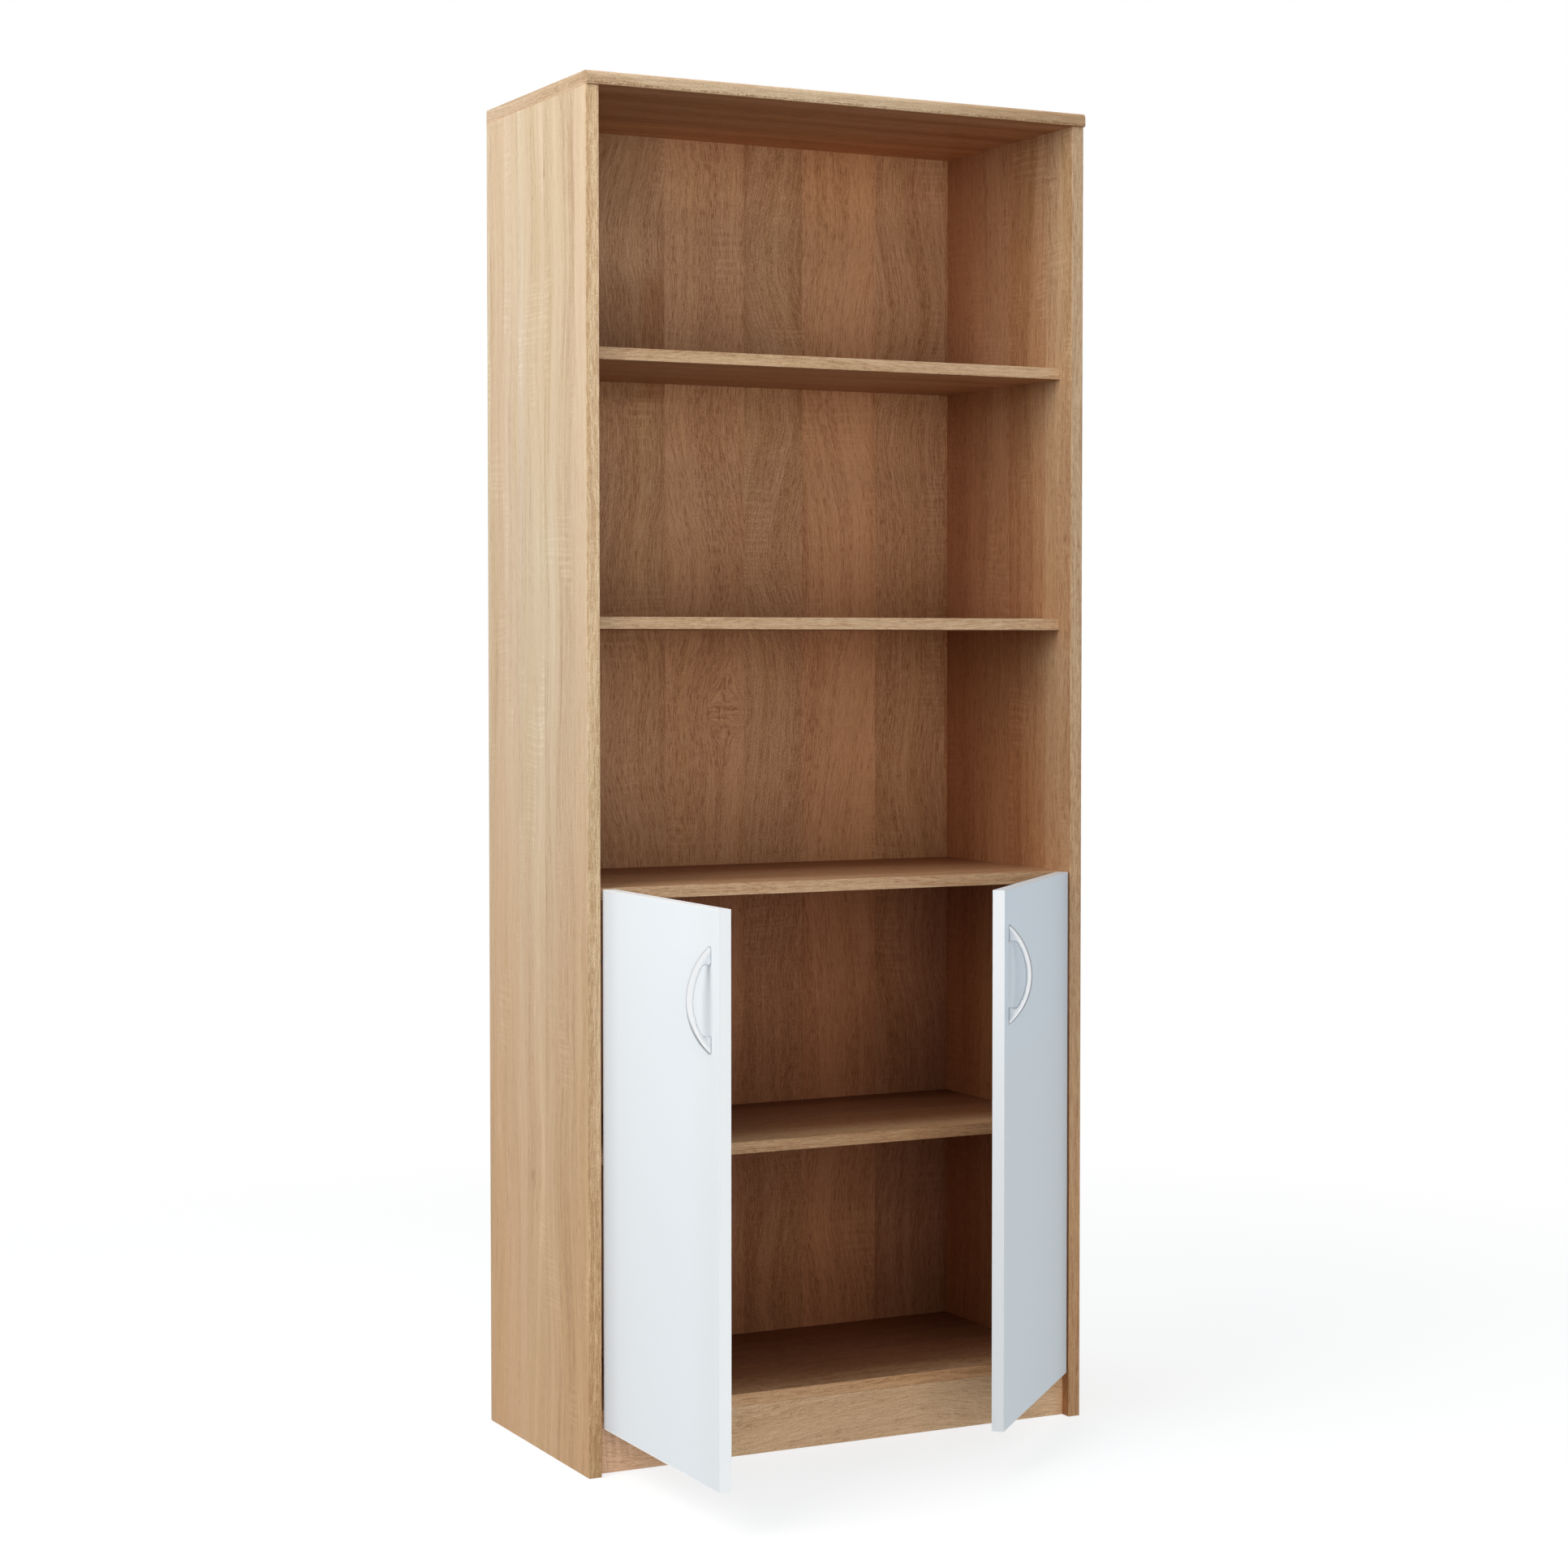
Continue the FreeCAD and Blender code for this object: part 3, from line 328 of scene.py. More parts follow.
def oak(name, along, across, seed, contrast=1.0, fine=1.0, slant=1.0, ripples=1.0, hue=1.0,
        planks=PLANKS_PER_METRE, layout=(), knots=(), banded_end=None, tones=(),
        covers=()):
    """Printed rough-sawn oak: planks, wandering rings, pores and saw ripple.

    contrast is for the broad figure, fine for fibres and pores, slant for how far
    the grain leans in a plank, hue for how much planks and streaks differ in it.
    planks is how many a metre holds, or layout gives each plank's first edge,
    darkness, coarseness and pinkness.  A knot is its place across and along the
    grain, and its radius.  banded_end is how far out the ends along the grain carry
    a band, whose own grain runs along the end.  Each of the tones, mostly painted
    light and shade, is a colour and its masks: an axis and two places on it, where
    the tone comes in from the first to the second.  The covers are plain colours
    laid on in the same way.
    """
    g = Graph(name)
    axes = dict(zip("xyz", g.place()))
    u, length = board_axes(g, axes, along, across, seed, banded_end)
    plank_a, plank_b, plank_c, edge = plank_cells(g, axes[across], u, length, planks, layout)
    v = g.math("MULTIPLY_ADD", plank_a, SLIP_ALONG, length)
    lean, w = leaning_grain(g, u, v, plank_b, plank_c, slant)
    heart = 0.0
    for knot in knots:
        beside = g.math("SUBTRACT", axes[across], knot[0])
        above = g.math("SUBTRACT", axes[along], knot[1])
        w, heart = around_knot(g, u, v, w, heart, knot, beside, above)

    # the patterns
    broad = g.math("ADD", stretched(g, w, v, *BROAD_FIGURE), stretched(g, w, v, *NARROW_FIGURE))
    streak = stretched(g, w, v, *STREAKS)
    fibre = stretched(g, w, v, *FIBRES)
    mottle = stretched(g, u, v, *MOTTLE)
    dash = stretched(g, w, v, *DASHES)
    band = g.span(g.math("ADD", streak, g.math("MULTIPLY", broad, 0.6)), -0.16, 0.16)
    porous = g.span(dash, -0.01, 0.11)
    pores = g.math("MULTIPLY", porous, g.math("MULTIPLY_ADD", band, 0.70, 0.30))
    vein = g.math("ABSOLUTE", stretched(g, w, v, *VEINS))
    vein = g.math("MULTIPLY", g.span(vein, 0.010, 0.002), g.span(lean, 0.02, 0.12))
    crack = g.span(edge, 0.018, 0.0)
    crack = g.math("MULTIPLY", crack, g.span(stretched(g, u, v, *CRACKS), 0.06, 0.18))
    ripple = saw_ripple(g, u, v, plank_c, ripples)

    # how dark they make it
    level = g.math("MULTIPLY", broad, BROAD_WEIGHT * contrast)
    plank_level = g.math("SUBTRACT", plank_a, 0.5)
    level = g.math("MULTIPLY_ADD", plank_level, PLANK_WEIGHT * contrast, level)
    level = g.math("MULTIPLY_ADD", streak, STREAK_WEIGHT * contrast, level)
    level = g.math("MULTIPLY_ADD", fibre, FIBRE_WEIGHT * fine, level)
    coarse = g.math("MULTIPLY_ADD", plank_b, 0.9, 0.25)
    spots = g.math("MULTIPLY", mottle, coarse)
    level = g.math("MULTIPLY_ADD", spots, MOTTLE_WEIGHT * fine, level)
    level = g.math("MULTIPLY_ADD", vein, VEIN_WEIGHT * contrast, level)
    level = g.math("MULTIPLY_ADD", ripple, RIPPLE_WEIGHT, level)
    if layout:
        border = stretched(g, u, v, *BORDER_WAVE)
        border = g.math("MULTIPLY_ADD", border, BORDER_WAVE_REACH, edge)
        border = g.span(border, BORDER_WIDTH, 0.0)
        stretch = g.span(stretched(g, plank_c, v, *BORDER_LENGTHS), -0.06, 0.10)
        border = g.math("MULTIPLY", border, stretch)
        level = g.math("MULTIPLY_ADD", border, BORDER_WEIGHT, level)
    if knots:
        turned = g.math("MULTIPLY_ADD", streak, KNOT_STREAK_WAVE, v)
        rays = g.span(stretched(g, turned, u, *KNOT_STREAKS), -0.07, 0.09, -0.38, 0.62)
        level = g.math("MULTIPLY_ADD", rays, heart, level)
    level = g.math("ADD", level, MIDDLE_LEVEL, clamp=True)

    # the colour
    colour = g.mix(g.span(level, 0.0, 0.5), OAK_LIGHT, OAK_MIDDLE)
    colour = g.mix(g.span(level, 0.5, 1.0), colour, OAK_DARK)
    dark = g.math("MULTIPLY", pores, min(1.0, PORE_STRENGTH * fine))
    colour = g.mix(dark, colour, OAK_PORE)
    dark = g.math("MULTIPLY", crack, min(1.0, CRACK_STRENGTH * contrast))
    colour = g.mix(dark, colour, OAK_PORE)
    colour = tinted(g, g.math("MULTIPLY", plank_c, hue), colour, OAK_PINK)
    olive = g.span(stretched(g, w, v, *OLIVE_STREAKS), -0.05, 0.2)
    colour = tinted(g, g.math("MULTIPLY", olive, hue), colour, OAK_OLIVE)
    speckle = g.math("MULTIPLY_ADD", dash, 0.6, 0.5)
    axes["speckle"] = g.math("MULTIPLY_ADD", mottle, 0.9, speckle)
    # the tones: mostly painted light and shade, laid on by place on the board
    if any(mask[0] in ("above", "below") for _, *masks in tones for mask in masks):
        axes["above"], axes["below"] = board_distances(g, axes["z"])
    for tone, *masks in tones:
        colour = tinted(g, masked(g, axes, masks), colour, tone)
    for cover, *masks in covers:
        fleck = g.math("MULTIPLY_ADD", stretched(g, u, v, *FLECKS), 1.4, mottle)
        fleck = g.span(fleck, -0.35, 0.35)
        shade = rgb(*[channel * HARDBOARD_SHADE for channel in cover])
        plain = g.mix(fleck, rgb(*cover), shade)
        colour = g.mix(masked(g, axes, masks), colour, plain)

    # the surface
    relief = g.math("MULTIPLY_ADD", pores, -1.0, g.math("MULTIPLY", fibre, 0.6))
    relief = g.math("MULTIPLY_ADD", ripple, 0.15, relief)
    rough = g.math("MULTIPLY_ADD", fibre, 0.16, 0.52)
    return g.finish(Base_Color=colour, Roughness=rough, Specular_IOR_Level=0.30,
                    Normal=g.bump(relief, 0.25, 0.0002))


# ----------------------------------------------------------- other finishes
PEARL_CELLS = 900.0                        # cells a metre
CLOUD_CELLS = 6.0
CLOUD_COLOUR = rgb(0.80, 0.82, 0.84)


def white_board(name, colour=rgb(0.860, 0.905, 0.945), tones=()):
    """White melamine with a fine pearled texture; the tones, painted light and shade, are as on
    oak.
    """
    g = Graph(name)
    axes = dict(zip("xyz", g.place()))
    place = g.vector(*[axes[a] for a in "xyz"])
    pearl = g.noise(place, PEARL_CELLS, 2.0, 0.6)
    cloud = g.noise(place, CLOUD_CELLS, 2.0, 0.5)
    shade = g.mix(g.span(cloud, 0.3, 0.7, 0.0, 0.035), colour, CLOUD_COLOUR)
    for tone, *masks in tones:
        shade = tinted(g, masked(g, axes, masks), shade, tone)
    rough = g.math("MULTIPLY_ADD", pearl, 0.10, 0.36)
    return g.finish(Base_Color=shade, Roughness=rough, Specular_IOR_Level=0.40,
                    Normal=g.bump(pearl, 0.10, 0.0002))


BRUSH_ALONG = 60.0                         # cells a metre along the brush lines
BRUSH_ACROSS = 2400.0
SMUDGE_CELLS = 45.0
BRUSH_COLOUR = rgb(0.45, 0.45, 0.45)


def metal(name, colour, roughness, brushed_axis="z", brush=0.08, bow=None, shades=()):
    """Plated or satin metal with fine brush lines along one axis.

    bow is a handle's way out of the door, where it meets the door, how deep its
    arcs' centre lies and how high; with it the shades may use radius, the place
    across the bow, and out, the height over the door.
    """
    g = Graph(name)
    axes = dict(zip("xyz", g.place()))
    brushed = [g.math("MULTIPLY", axes[a], BRUSH_ALONG if a == brushed_axis else BRUSH_ACROSS)
               for a in "xyz"]
    lines = g.noise(g.vector(*brushed), 1.0, 2.0, 0.6)
    smudge = g.noise(g.vector(*[axes[a] for a in "xyz"]), SMUDGE_CELLS, 2.0, 0.5)
    rough = g.math("MULTIPLY_ADD", lines, brush, roughness)
    rough = g.math("MULTIPLY_ADD", smudge, 0.06, rough)
    tint = g.mix(g.span(lines, 0.3, 0.7, 0.0, 0.10), colour, BRUSH_COLOUR)
    if bow:
        way, foot, depth, height = bow
        along = g.add("ShaderNodeVectorMath", {0: g.vector(*[axes[a] for a in "xyz"]), 1: way},
                      output="Value", operation="DOT_PRODUCT")
        axes["out"] = g.math("SUBTRACT", along, foot)
        reach = g.math("ADD", axes["out"], depth)
        above = g.math("SUBTRACT", axes["z"], height)
        axes["radius"] = g.math("SQRT", g.math("ADD", g.math("MULTIPLY", reach, reach),
                                               g.math("MULTIPLY", above, above)))
    axes["speckle"] = lines
    for tone, *masks in shades:
        tint = tinted(g, masked(g, axes, masks), tint, tone)
    return g.finish(Base_Color=tint, Metallic=1.0, Roughness=rough,
                    Normal=g.bump(lines, 0.05, 0.0001))


# the bow handles: two arcs about one centre, which lies inside the door
BOW_RADIUS = 0.0854
BOW_INNER_RADIUS = 0.0779
BOW_DEPTH = 0.0554                         # the centre, behind the door's face
BOW_HEIGHT = 0.656
BOW_RIM = ("radius", BOW_RADIUS - 0.0009, BOW_RADIUS - 0.0002)
BOW_INNER_RIM = ("radius", BOW_INNER_RADIUS + 0.0009, BOW_INNER_RADIUS)
BOW_FLANK = ("radius", BOW_RADIUS - 0.0030, BOW_RADIUS - 0.0055)
CLEAR_OF_DOOR = ("out", 0.004, 0.012)
FOOT_LINE = ("out", 0.0009, 0.0004)
BRUSH_LINES = ("speckle", 0.40, 0.60)


def satin_handle(side, way, colour, rim):
    """Satin handle with painted dark reflections along its rim, painted shade at its feet and
    faint painted shade inside the bow.
    """
    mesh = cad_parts[side + "_handle"].data
    foot = min(Vector(way).dot(vertex.co) for vertex in mesh.vertices)
    shades = [(tone, BOW_RIM, *masks) for tone, *masks in rim]
    # painted shade inside the bow, brush speckle on its flank, painted shade where the feet
    # meet the door
    shades += [((0.82, 0.83, 0.84), BOW_INNER_RIM, CLEAR_OF_DOOR),
               ((0.80, 0.83, 0.86), BOW_FLANK, BRUSH_LINES),
               ((0.30, 0.31, 0.33), FOOT_LINE)]
    return metal(side + "_satin_handle", colour, 0.34,
                 bow=(way, foot, BOW_DEPTH, BOW_HEIGHT), shades=shades)


GRAIN_CELLS = 1500.0                       # cells a metre
GRAIN_COLOUR = rgb(0.5, 0.5, 0.5)


def plastic(name, colour, roughness=0.45, transmission=0.0):
    """Small moulded pieces."""
    g = Graph(name)
    grain = g.noise(g.add("ShaderNodeTexCoord", output="Object"), GRAIN_CELLS, 2.0, 0.5)
    shade = g.mix(g.span(grain, 0.3, 0.7, 0.0, 0.06), colour, GRAIN_COLOUR)
    rough = g.math("MULTIPLY_ADD", grain, 0.10, roughness)
    return g.finish(Base_Color=shade, Roughness=rough, Transmission_Weight=transmission,
                    Normal=g.bump(grain, 0.08, 0.0001))


# --------------------------------------------- where painted light and shade go on the oak print
# A mask is an axis and two places on it, in metres; a tone comes in from the first
# to the second.  above and below are the distances to the next board down and up.
# Most tones below are painted light and shade; a few are plain tints of a board.
LEFT_INNER = ("x", -0.370, -0.360)
LEFT_OUTER = ("x", -0.360, -0.370)
RIGHT_INNER = ("x", 0.370, 0.360)
RIGHT_OUTER = ("x", 0.360, 0.370)
TO_THE_LEFT = ("x", 0.0, -0.2)
TO_THE_RIGHT = ("x", 0.0, 0.2)
LOWER = ("z", 1.60, 0.85)
CUPBOARD = ("z", 0.766, 0.754)
OPEN_BAYS = ("z", 0.754, 0.766)
TOP_BAY = ("z", 1.42, 1.44)
FRONT = ("y", -0.15, -0.34)
FRONT_STRIP = ("y", -0.215, -0.335)
FRONT_THIRD = ("y", -0.30, -0.20)
DEEP = ("y", -0.16, -0.02)
BAY_FOOT = ("above", 0.175, -0.010)
BAY_HEAD = ("below", 0.150, 0.0)
NOSE = ("y", -0.338, -0.352)
CEILING = ("z", 1.8032, 1.8021)
PRINTED_FACE_END = ("y", -0.0015, -0.0005)
UPPER_FIXED_BAND = ("z", 0.4, 0.5)
LOWER_FIXED_BAND = ("z", 0.5, 0.4)
FIXED_BAND_RIGHT = ("x", -0.1, 0.3)
UPPER_SHELF_BANDS = ("z", 0.7, 0.8)
LOWER_SHELF_BAND = ("z", 0.70, 0.50)

INNER_PAINTED_SHADE = (0.80, 0.58, 0.46)            # painted shade: the inner faces darker and warmer
LOW_PAINTED_SHADE = (0.80, 0.70, 0.64)              # painted shade, darker lower down
DEEP_PAINTED_SHADE = (0.80, 0.68, 0.62)             # painted shade, darker at the back
FRONT_PAINTED_LIGHT = (1.16, 1.44, 1.65)            # painted light, lighter again near the front
# painted shade on the shelves
SHELF_PAINTED_SHADE = (0.74, 0.53, 0.42)
CABINET_PAINTED_SHADE = (0.64, 0.52, 0.47)          # painted shade: the cupboard's boards darker still
FOOT_TONE = (0.914, 0.736, 0.586)          # painted shade: the uprights darker toward the floor
OUTER_PAINTED_LIGHT = (1.03, 1.09, 1.13)            # painted light: the outer faces paler
BAND_TONE = (0.93, 0.85, 0.78)

FOOT = (FOOT_TONE, ("z", 1.30, 0.0))
SHELF = (SHELF_PAINTED_SHADE,)                      # a tone without masks is on the whole board
CABINET = (CABINET_PAINTED_SHADE,)
# painted shade toward the back of a shelf
SHELF_BACK_SHADE = ((0.50, 0.34, 0.26), ("y", -0.28, 0.0))
# painted light along the cupboard's front
CUPBOARD_FRONT_LIGHT = ((1.70, 2.30, 2.65), FRONT_STRIP)
SIDE_FOOT_SHADE = (0.86, 0.86, 0.88)        # painted shade low in each bay, on the sides

# painted light and shade on the left upright: darker toward the floor, paler outside with two
# lighter painted patches, inside darker and warmer, lower down, at the back and low in each bay
LEFT_SIDE_TONES = [
    FOOT,
    (OUTER_PAINTED_LIGHT, LEFT_OUTER),
    ((1.04, 1.08, 1.15), LEFT_OUTER, ("y", -0.062, -0.075), ("y", -0.150, -0.130)),
    ((1.01, 1.04, 1.06), LEFT_OUTER, ("y", -0.140, -0.160), ("y", -0.255, -0.235),
     ("z", 1.4, 1.2)),
    (INNER_PAINTED_SHADE, LEFT_INNER),
    (LOW_PAINTED_SHADE, LEFT_INNER, LOWER),
    (DEEP_PAINTED_SHADE, LEFT_INNER, DEEP),
    (SIDE_FOOT_SHADE, LEFT_INNER, BAY_FOOT, FRONT_THIRD)]
# painted light and shade on the right upright: darker toward the floor, a painted warm light
# outside, inside darker and warmer, lower down and at the back, lighter near the front, darker
# in the open bays and low in each bay
RIGHT_SIDE_TONES = [
    FOOT,
    ((1.17, 1.06, 0.97), RIGHT_OUTER),
    (INNER_PAINTED_SHADE, RIGHT_INNER),
    (LOW_PAINTED_SHADE, RIGHT_INNER, LOWER),
    (DEEP_PAINTED_SHADE, RIGHT_INNER, DEEP),
    (FRONT_PAINTED_LIGHT, RIGHT_INNER, FRONT),
    ((0.92, 0.92, 0.91), RIGHT_INNER, OPEN_BAYS),
    ((1.03, 1.12, 1.18), RIGHT_INNER, FRONT, OPEN_BAYS, ("z", 1.11, 1.06)),
    (SIDE_FOOT_SHADE, RIGHT_INNER, BAY_FOOT, FRONT_THIRD)]
# painted light on the left upright's front band and painted shade on the right one's, changing
# with height, both darker toward the floor
SIDE_BAND_TONES = [
    FOOT,
    ((1.22, 1.24, 1.22), TO_THE_LEFT),
    ((0.84, 0.92, 1.00), TO_THE_LEFT, ("z", 1.25, 0.55)),
    ((0.93, 0.88, 0.84), TO_THE_RIGHT),
    ((0.98, 0.97, 0.96), TO_THE_RIGHT, ("z", 1.0, 0.5)),
    ((0.96, 0.93, 0.90), TO_THE_RIGHT, ("z", 1.0, 1.5))]
# painted shade on the back: darker overall, lower down, toward the right, in the cupboard and
# low in each bay; painted light high in each bay; and darker patches high in the top bay
BACK_TONES = [
    ((0.795, 0.610, 0.500),),
    ((0.92, 0.84, 0.78), LOWER),
    ((0.82, 0.78, 0.77), ("x", 0.20, 0.36)),
    (CABINET_PAINTED_SHADE, CUPBOARD),
    ((1.12, 1.15, 1.22), CUPBOARD),
    ((0.65, 0.60, 0.55), BAY_FOOT),
    ((1.34, 1.33, 1.29), BAY_HEAD),
    ((0.66, 0.59, 0.56), BAY_FOOT, ("x", -0.15, -0.31)),
    ((0.74, 0.73, 0.70), ("x", -0.07, -0.16), ("z", 1.65, 1.73)),
    ((0.80, 0.77, 0.73), ("x", -0.08, -0.15), ("z", 1.64, 1.57), TOP_BAY),
    ((0.88, 0.76, 0.66), ("x", -0.150, -0.130), ("x", -0.103, -0.110),
     ("z", 1.63, 1.58), TOP_BAY)]
# painted light and shade on the top: underneath darker and warmer, lighter toward the back; the
# front nose darker, more so on the right, with a speckled dark line of painted shade along it
TOP_TONES = [
    (INNER_PAINTED_SHADE, CEILING),
    ((1.08, 1.06, 1.06), CEILING),
    ((1.20, 1.24, 1.22), CEILING, ("y", -0.20, -0.03)),
    ((0.88, 0.84, 0.79), NOSE),
    ((0.80, 0.72, 0.64), NOSE, ("x", 0.0, 0.3)),
    ((0.55, 0.44, 0.36), NOSE, ("z", 1.8060, 1.8050), ("z", 1.8034, 1.8041),
     ("speckle", 0.44, 0.54))]
# painted light and shade on the bottom and shelves: darker overall and toward the back, darker
# still in the cupboard, lighter along the fronts and on the bottom's right part
BOTTOM_TONES = [SHELF, CABINET, SHELF_BACK_SHADE, CUPBOARD_FRONT_LIGHT,
                ((1.18, 1.24, 1.30), ("x", 0.0, 0.25))]
MIDDLE_SHELF_TONES = [SHELF, ((0.87, 0.85, 0.84),), SHELF_BACK_SHADE,
                      ((1.30, 1.45, 1.55), FRONT_STRIP)]
CABINET_SHELF_TONES = [SHELF, CABINET, ((1.10, 1.20, 1.22),), SHELF_BACK_SHADE, CUPBOARD_FRONT_LIGHT]
# the plinth warmer overall, with a painted light tint on its left end
PLINTH_TONES = [((1.10, 1.00, 0.91),), ((1.08, 1.00, 1.04), ("x", -0.15, -0.25))]
# the band colour, then painted light and shade by height and toward the right
FIXED_BAND_TONES = [
    (BAND_TONE,),
    ((0.935, 0.895, 0.87), UPPER_FIXED_BAND),
    ((0.81, 0.77, 0.71), UPPER_FIXED_BAND, FIXED_BAND_RIGHT),
    ((1.175, 1.07, 0.97), LOWER_FIXED_BAND),
    ((0.97, 0.87, 0.78), LOWER_FIXED_BAND, FIXED_BAND_RIGHT)]
# the band colour, then painted shade lower down and toward the right
SHELF_BAND_TONES = [
    (BAND_TONE,),
    ((0.96, 0.94, 0.925), UPPER_SHELF_BANDS),
    ((0.93, 0.84, 0.76), LOWER_SHELF_BAND),
    ((0.78, 0.70, 0.64), LOWER_SHELF_BAND, ("x", -0.05, 0.25))]

# the print's strengths, for boards of one kind
UPRIGHT = {"fine": 1.0, "contrast": 1.12, "slant": 0.3, "hue": 0.8}
INSIDE = {"fine": 3.0, "contrast": 1.7, "slant": 0.5, "hue": 0.8}
GRAINY = {**INSIDE, "fine": 4.2}
EDGE_BAND = {"fine": 2.4, "contrast": 1.6, "slant": 0.25, "ripples": 0.0, "planks": 2.0,
             "hue": 0.5}

# each back plank's left edge, darkness, coarseness and pinkness
BACK_PLANKS = [(-0.500, 0.50, 0.6, 0.8), (-0.240, 0.62, 0.5, 0.0), (-0.107, 0.28, 0.6, 0.5),
               (0.019, 0.78, 1.0, 0.1), (0.110, 0.22, 0.3, 0.8), (0.231, 0.66, 0.5, 0.1),
               (0.351, 0.90, 0.5, 0.6)]
# a knot's place across the grain and along it, and its radius
BACK_KNOT = (-0.012, 0.985, 0.024)
RIGHT_SIDE_KNOT = (-0.297, 1.735, 0.012)
TOP_BANDED_END = 0.3737                    # beyond it the top's ends carry their band

# ------------------------------------------------------- doors and handles
# painted shade on the doors: darker low down, and on the left door toward its free edge and
# along its hinge side; a painted cool light on the right door's upper part
LOWER_DOOR_SHADE = ((0.965, 0.965, 0.965), ("z", 0.7, 0.1))
DOOR_TONES = {
    "left": [LOWER_DOOR_SHADE,
             ((0.97, 0.965, 0.96), ("y", -0.60, -0.69)),
             ((0.89, 0.91, 0.94), ("y", -0.405, -0.362))],
    "right": [LOWER_DOOR_SHADE,
              ((0.985, 1.01, 1.045), ("z", 0.45, 0.65))]}
# the doors' edge bands: their colour, darker on the right one as painted shade, and painted
# shade on the left one's arris over its highlight
DOOR_BAND = {"left": rgb(0.970, 0.980, 0.990), "right": rgb(0.800, 0.825, 0.850)}
DOOR_BAND_TONES = {
    "left": [((0.90, 0.92, 0.93), ("x", -0.3514, -0.3519), ("y", -0.7018, -0.7022))],
    "right": []}
SLANTED = math.sqrt(0.5)                   # the right door stands open 45 degrees
HANDLE_WAY = {"left": (-1.0, 0.0, 0.0), "right": (SLANTED, -SLANTED, 0.0)}
# the right handle's darker colour is painted shade
HANDLE_COLOUR = {"left": rgb(0.93, 0.94, 0.95), "right": rgb(0.87, 0.885, 0.90)}
FAR_SIDE = ("y", -0.6758, -0.6736)         # of the left handle
# painted dark reflections along the handles' outer rims, darker lower down
HANDLE_RIM = {
    "left": [((0.62, 0.63, 0.65), FAR_SIDE),
             ((0.30, 0.31, 0.33), FAR_SIDE, ("z", 0.665, 0.620)),
             ((0.42, 0.43, 0.45), ("z", 0.650, 0.605))],
    "right": [((0.42, 0.44, 0.47),),
              ((0.60, 0.60, 0.62), ("z", 0.660, 0.610))]}
DOOR_STEEL = ("handle_screws", "hinge_cups", "hinge_cup_screws", "hinge_links",
              "hinge_arms", "hinge_arm_screws", "hinge_plates", "hinge_plate_screws",
              "hinge_rivets")


# ----------------------------------------------------------------- dressing
def dress(node, material):
    """Puts one material on a CAD node."""
    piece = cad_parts[node]
    if not piece.material_slots:
        piece.data.materials.append(material)
    for slot in piece.material_slots:
        slot.material = material


def dress_oak():
    """The carcass, its shelves, their bands and the dowels."""
    dress("left_side", oak("oak_left_side", "z", "y", 1.0, **UPRIGHT, tones=LEFT_SIDE_TONES))
    dress("right_side", oak("oak_right_side", "z", "y", 2.0, fine=3.0, contrast=1.3, slant=0.3,
                            ripples=1.8, knots=[RIGHT_SIDE_KNOT], tones=RIGHT_SIDE_TONES))
    dress("side_edge_bands", oak("oak_side_bands", "z", "x", 3.0, **EDGE_BAND,
                                 tones=SIDE_BAND_TONES))
    dress("back_panel", oak("oak_back", "z", "x", 4.0, contrast=1.3, fine=3.1, hue=1.2,
                            slant=0.7, ripples=1.5, layout=BACK_PLANKS, knots=[BACK_KNOT],
                            tones=BACK_TONES, covers=[(HARDBOARD, PRINTED_FACE_END)]))
    dress("top_panel", oak("oak_top", "x", "y", 5.0, fine=2.1, contrast=1.9, slant=0.2,
                           hue=0.5, banded_end=TOP_BANDED_END, tones=TOP_TONES))
    dress("bottom_panel", oak("oak_bottom", "x", "y", 6.0, **GRAINY, tones=BOTTOM_TONES))
    dress("middle_shelf", oak("oak_middle_shelf", "x", "y", 7.0, **INSIDE,
                              tones=MIDDLE_SHELF_TONES))
    dress("cabinet_shelf", oak("oak_cabinet_shelf", "x", "y", 8.0, **GRAINY,
                               tones=CABINET_SHELF_TONES))
    dress("centre_shelf", oak("oak_centre_shelf", "x", "y", 9.0, **INSIDE, tones=[SHELF]))
    dress("top_shelf", oak("oak_top_shelf", "x", "y", 10.0, **INSIDE, tones=[SHELF]))
    dress("plinth", oak("oak_plinth", "x", "z", 11.0, fine=2.2, contrast=0.8, slant=0.45,
                        ripples=3.0, planks=4.0, tones=PLINTH_TONES))
    dress("fixed_board_edge_bands", oak("oak_fixed_bands", "x", "z", 12.0, **EDGE_BAND,
                                        tones=FIXED_BAND_TONES))
    dress("shelf_edge_bands", oak("oak_shelf_bands", "x", "z", 13.0, **EDGE_BAND,
                                  tones=SHELF_BAND_TONES))
    dress("dowels", oak("beech_dowels", "x", "z", 14.0, contrast=0.4))


def dress_doors_and_fittings():
    """White doors with satin handles, and the metal and plastic fittings."""
    handles = {side: satin_handle(side, HANDLE_WAY[side], HANDLE_COLOUR[side],
                                  HANDLE_RIM[side])
               for side in ("left", "right")}
    steel = metal("plated_steel", rgb(0.74, 0.74, 0.73), 0.24)
    zinc = metal("zinc_casting", rgb(0.62, 0.62, 0.63), 0.42)
    pad = plastic("clear_pad", rgb(0.86, 0.87, 0.87), 0.35, 0.3)
    for side in ("left", "right"):
        dress(side + "_door", white_board(side + "_melamine", tones=DOOR_TONES[side]))
        dress(side + "_door_edge_bands", white_board(side + "_door_band", DOOR_BAND[side],
                                                     DOOR_BAND_TONES[side]))
        dress(side + "_door_buffers", pad)
        dress(side + "_handle", handles[side])
        for node in DOOR_STEEL:
            dress(side + "_" + node, steel)
    dress("cam_nuts", zinc)
    for node in ("cam_bolts", "shelf_pins", "top_screws", "back_nails"):
        dress(node, steel)
    dress("top_screw_caps", plastic("oak_cap", rgb(0.70, 0.55, 0.37)))


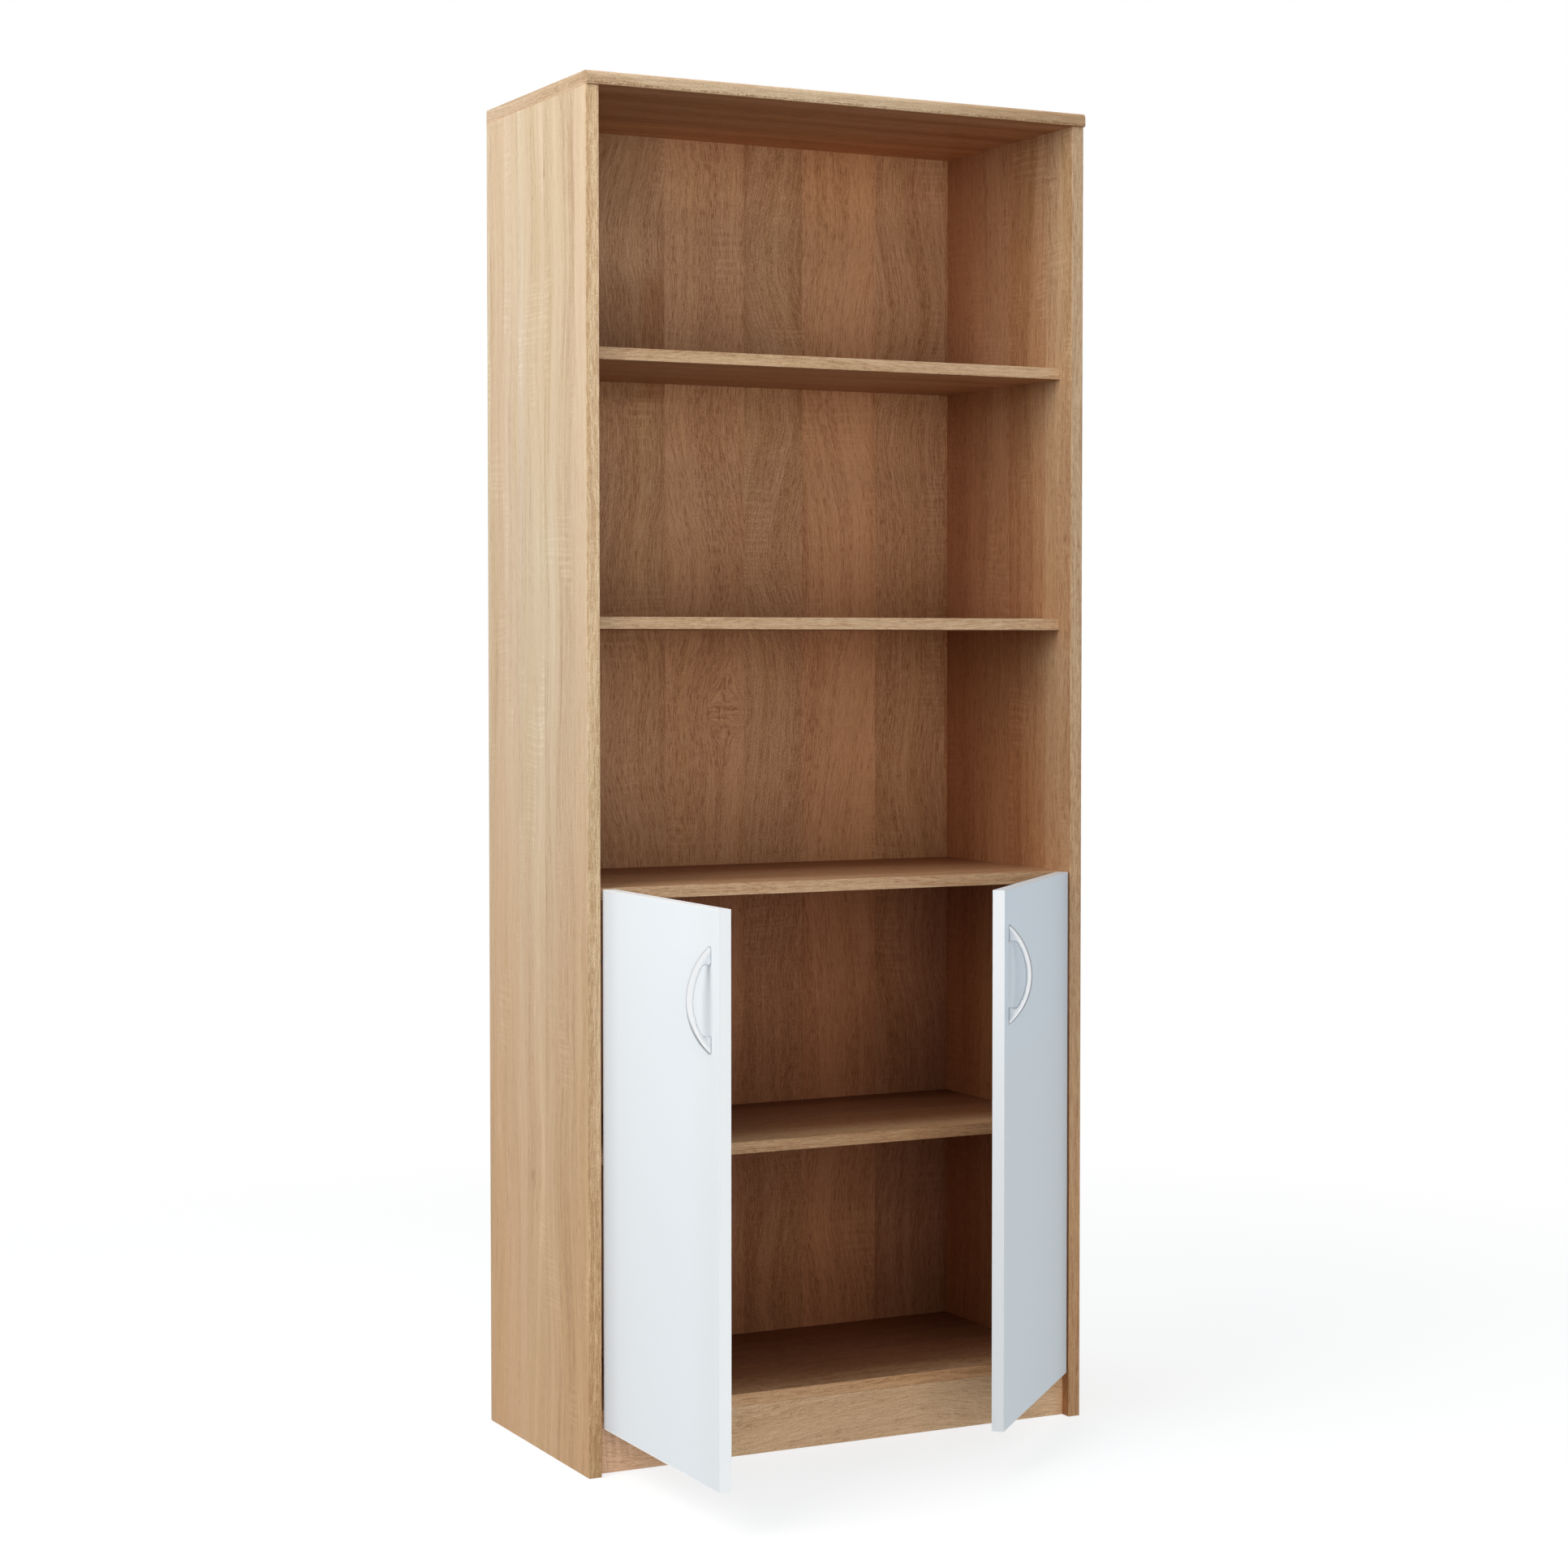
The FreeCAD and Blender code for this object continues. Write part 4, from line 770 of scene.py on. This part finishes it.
# --------------------------------------------------------- floor and lights
FLOOR_SIZE = 30.0
FLOOR_FADE = (0.9, 2.4)        # metres from the origin where the floor turns white
FLOOR_GREY = 0.35
MIDDLE = (0.0, -0.2, 1.0)      # where the lamps point
WORLD_HORIZON = 0.62
WORLD_ZENITH = 0.36
WORLD_COLOUR = rgb(0.90, 0.96, 1.0)
FLOOR_GLOW = 0.72              # added for camera, glossy and transmission rays only
FLOOR_DROP = 0.0005            # metres under the object, so the two never share a plane


def add_floor():
    """Plain pale floor that keeps the shadow near the object."""
    half = FLOOR_SIZE / 2
    mesh = bpy.data.meshes.new("floor")
    mesh.from_pydata([(-half, -half, 0), (half, -half, 0), (half, half, 0), (-half, half, 0)],
                     [], [(0, 1, 2, 3)])
    floor = bpy.data.objects.new("floor", mesh)
    bpy.context.scene.collection.objects.link(floor)
    floor.location.z = -FLOOR_DROP

    g = Graph("pale_floor")
    x, y, _ = g.place()
    distance = g.add("ShaderNodeVectorMath", {0: g.vector(x, y, 0.0)}, output="Value",
                     operation="LENGTH")
    away = g.span(distance, *FLOOR_FADE)
    path = g.tree.nodes.new("ShaderNodeLightPath")
    seen = path.outputs["Is Camera Ray"]
    for ray in ("Is Glossy Ray", "Is Transmission Ray"):
        seen = g.math("MAXIMUM", seen, path.outputs[ray])
    grey = g.math("MULTIPLY_ADD", away, -FLOOR_GREY, FLOOR_GREY)
    glow = g.math("MULTIPLY", g.math("MULTIPLY_ADD", away, 1.0 - FLOOR_GLOW, FLOOR_GLOW), seen)
    g.finish(Base_Color=g.mix(grey, rgb(0, 0, 0), rgb(1, 1, 1)), Roughness=0.9,
             Specular_IOR_Level=0.0, Emission_Color=rgb(1, 1, 1), Emission_Strength=glow)
    mesh.materials.append(g.material)


def add_world():
    """Even soft light; the camera, gloss and glass see plain white."""
    world = bpy.data.worlds.new("studio")
    bpy.context.scene.world = world
    world.use_nodes = True
    nodes = world.node_tree.nodes
    links = world.node_tree.links
    nodes.clear()
    output = nodes.new("ShaderNodeOutputWorld")
    light = nodes.new("ShaderNodeBackground")
    light.inputs["Color"].default_value = WORLD_COLOUR
    place = nodes.new("ShaderNodeTexCoord")
    split = nodes.new("ShaderNodeSeparateXYZ")
    links.new(place.outputs["Generated"], split.inputs[0])
    level = nodes.new("ShaderNodeMapRange")
    level.inputs["To Min"].default_value = WORLD_HORIZON
    level.inputs["To Max"].default_value = WORLD_ZENITH
    links.new(split.outputs[2], level.inputs["Value"])
    links.new(level.outputs[0], light.inputs["Strength"])
    white = nodes.new("ShaderNodeBackground")
    white.inputs["Color"].default_value = rgb(1, 1, 1)
    path = nodes.new("ShaderNodeLightPath")
    seen = path.outputs["Is Camera Ray"]
    for ray in ("Is Glossy Ray", "Is Transmission Ray"):
        larger = nodes.new("ShaderNodeMath")
        larger.operation = "MAXIMUM"
        links.new(seen, larger.inputs[0])
        links.new(path.outputs[ray], larger.inputs[1])
        seen = larger.outputs[0]
    mixed = nodes.new("ShaderNodeMixShader")
    links.new(seen, mixed.inputs[0])
    links.new(light.outputs[0], mixed.inputs[1])
    links.new(white.outputs[0], mixed.inputs[2])
    links.new(mixed.outputs[0], output.inputs[0])


def add_lamp(name, place, aim, size, power, colour):
    """Soft rectangular lamp pointed at a place."""
    data = bpy.data.lights.new(name, "AREA")
    data.shape = "RECTANGLE"
    data.size, data.size_y = size
    data.energy = power
    data.color = colour
    lamp = bpy.data.objects.new(name, data)
    lamp.location = place
    lamp.visible_glossy = False
    lamp.rotation_euler = (Vector(aim) - Vector(place)).to_track_quat("-Z", "Y").to_euler()
    bpy.context.scene.collection.objects.link(lamp)


def add_lights():
    """The world, and four lamps: name, place, aim, size, watts and colour."""
    add_world()
    add_lamp("key", (-2.7, -1.2, 2.6), MIDDLE, (2.4, 2.4), 79.0, (1.0, 0.975, 0.945))
    add_lamp("front", (-1.4, -4.6, 1.5), MIDDLE, (2.4, 2.4), 72.0, (1.0, 0.985, 0.96))
    add_lamp("fill", (3.0, -3.2, 1.6), MIDDLE, (2.5, 2.5), 15.5, (0.64, 0.88, 1.0))
    add_lamp("top", (-0.3, 0.0, 3.6), MIDDLE, (2.0, 2.0), 25.0, (1.0, 1.0, 1.0))


add_camera()
dress_oak()
dress_doors_and_fittings()
add_floor()
add_lights()
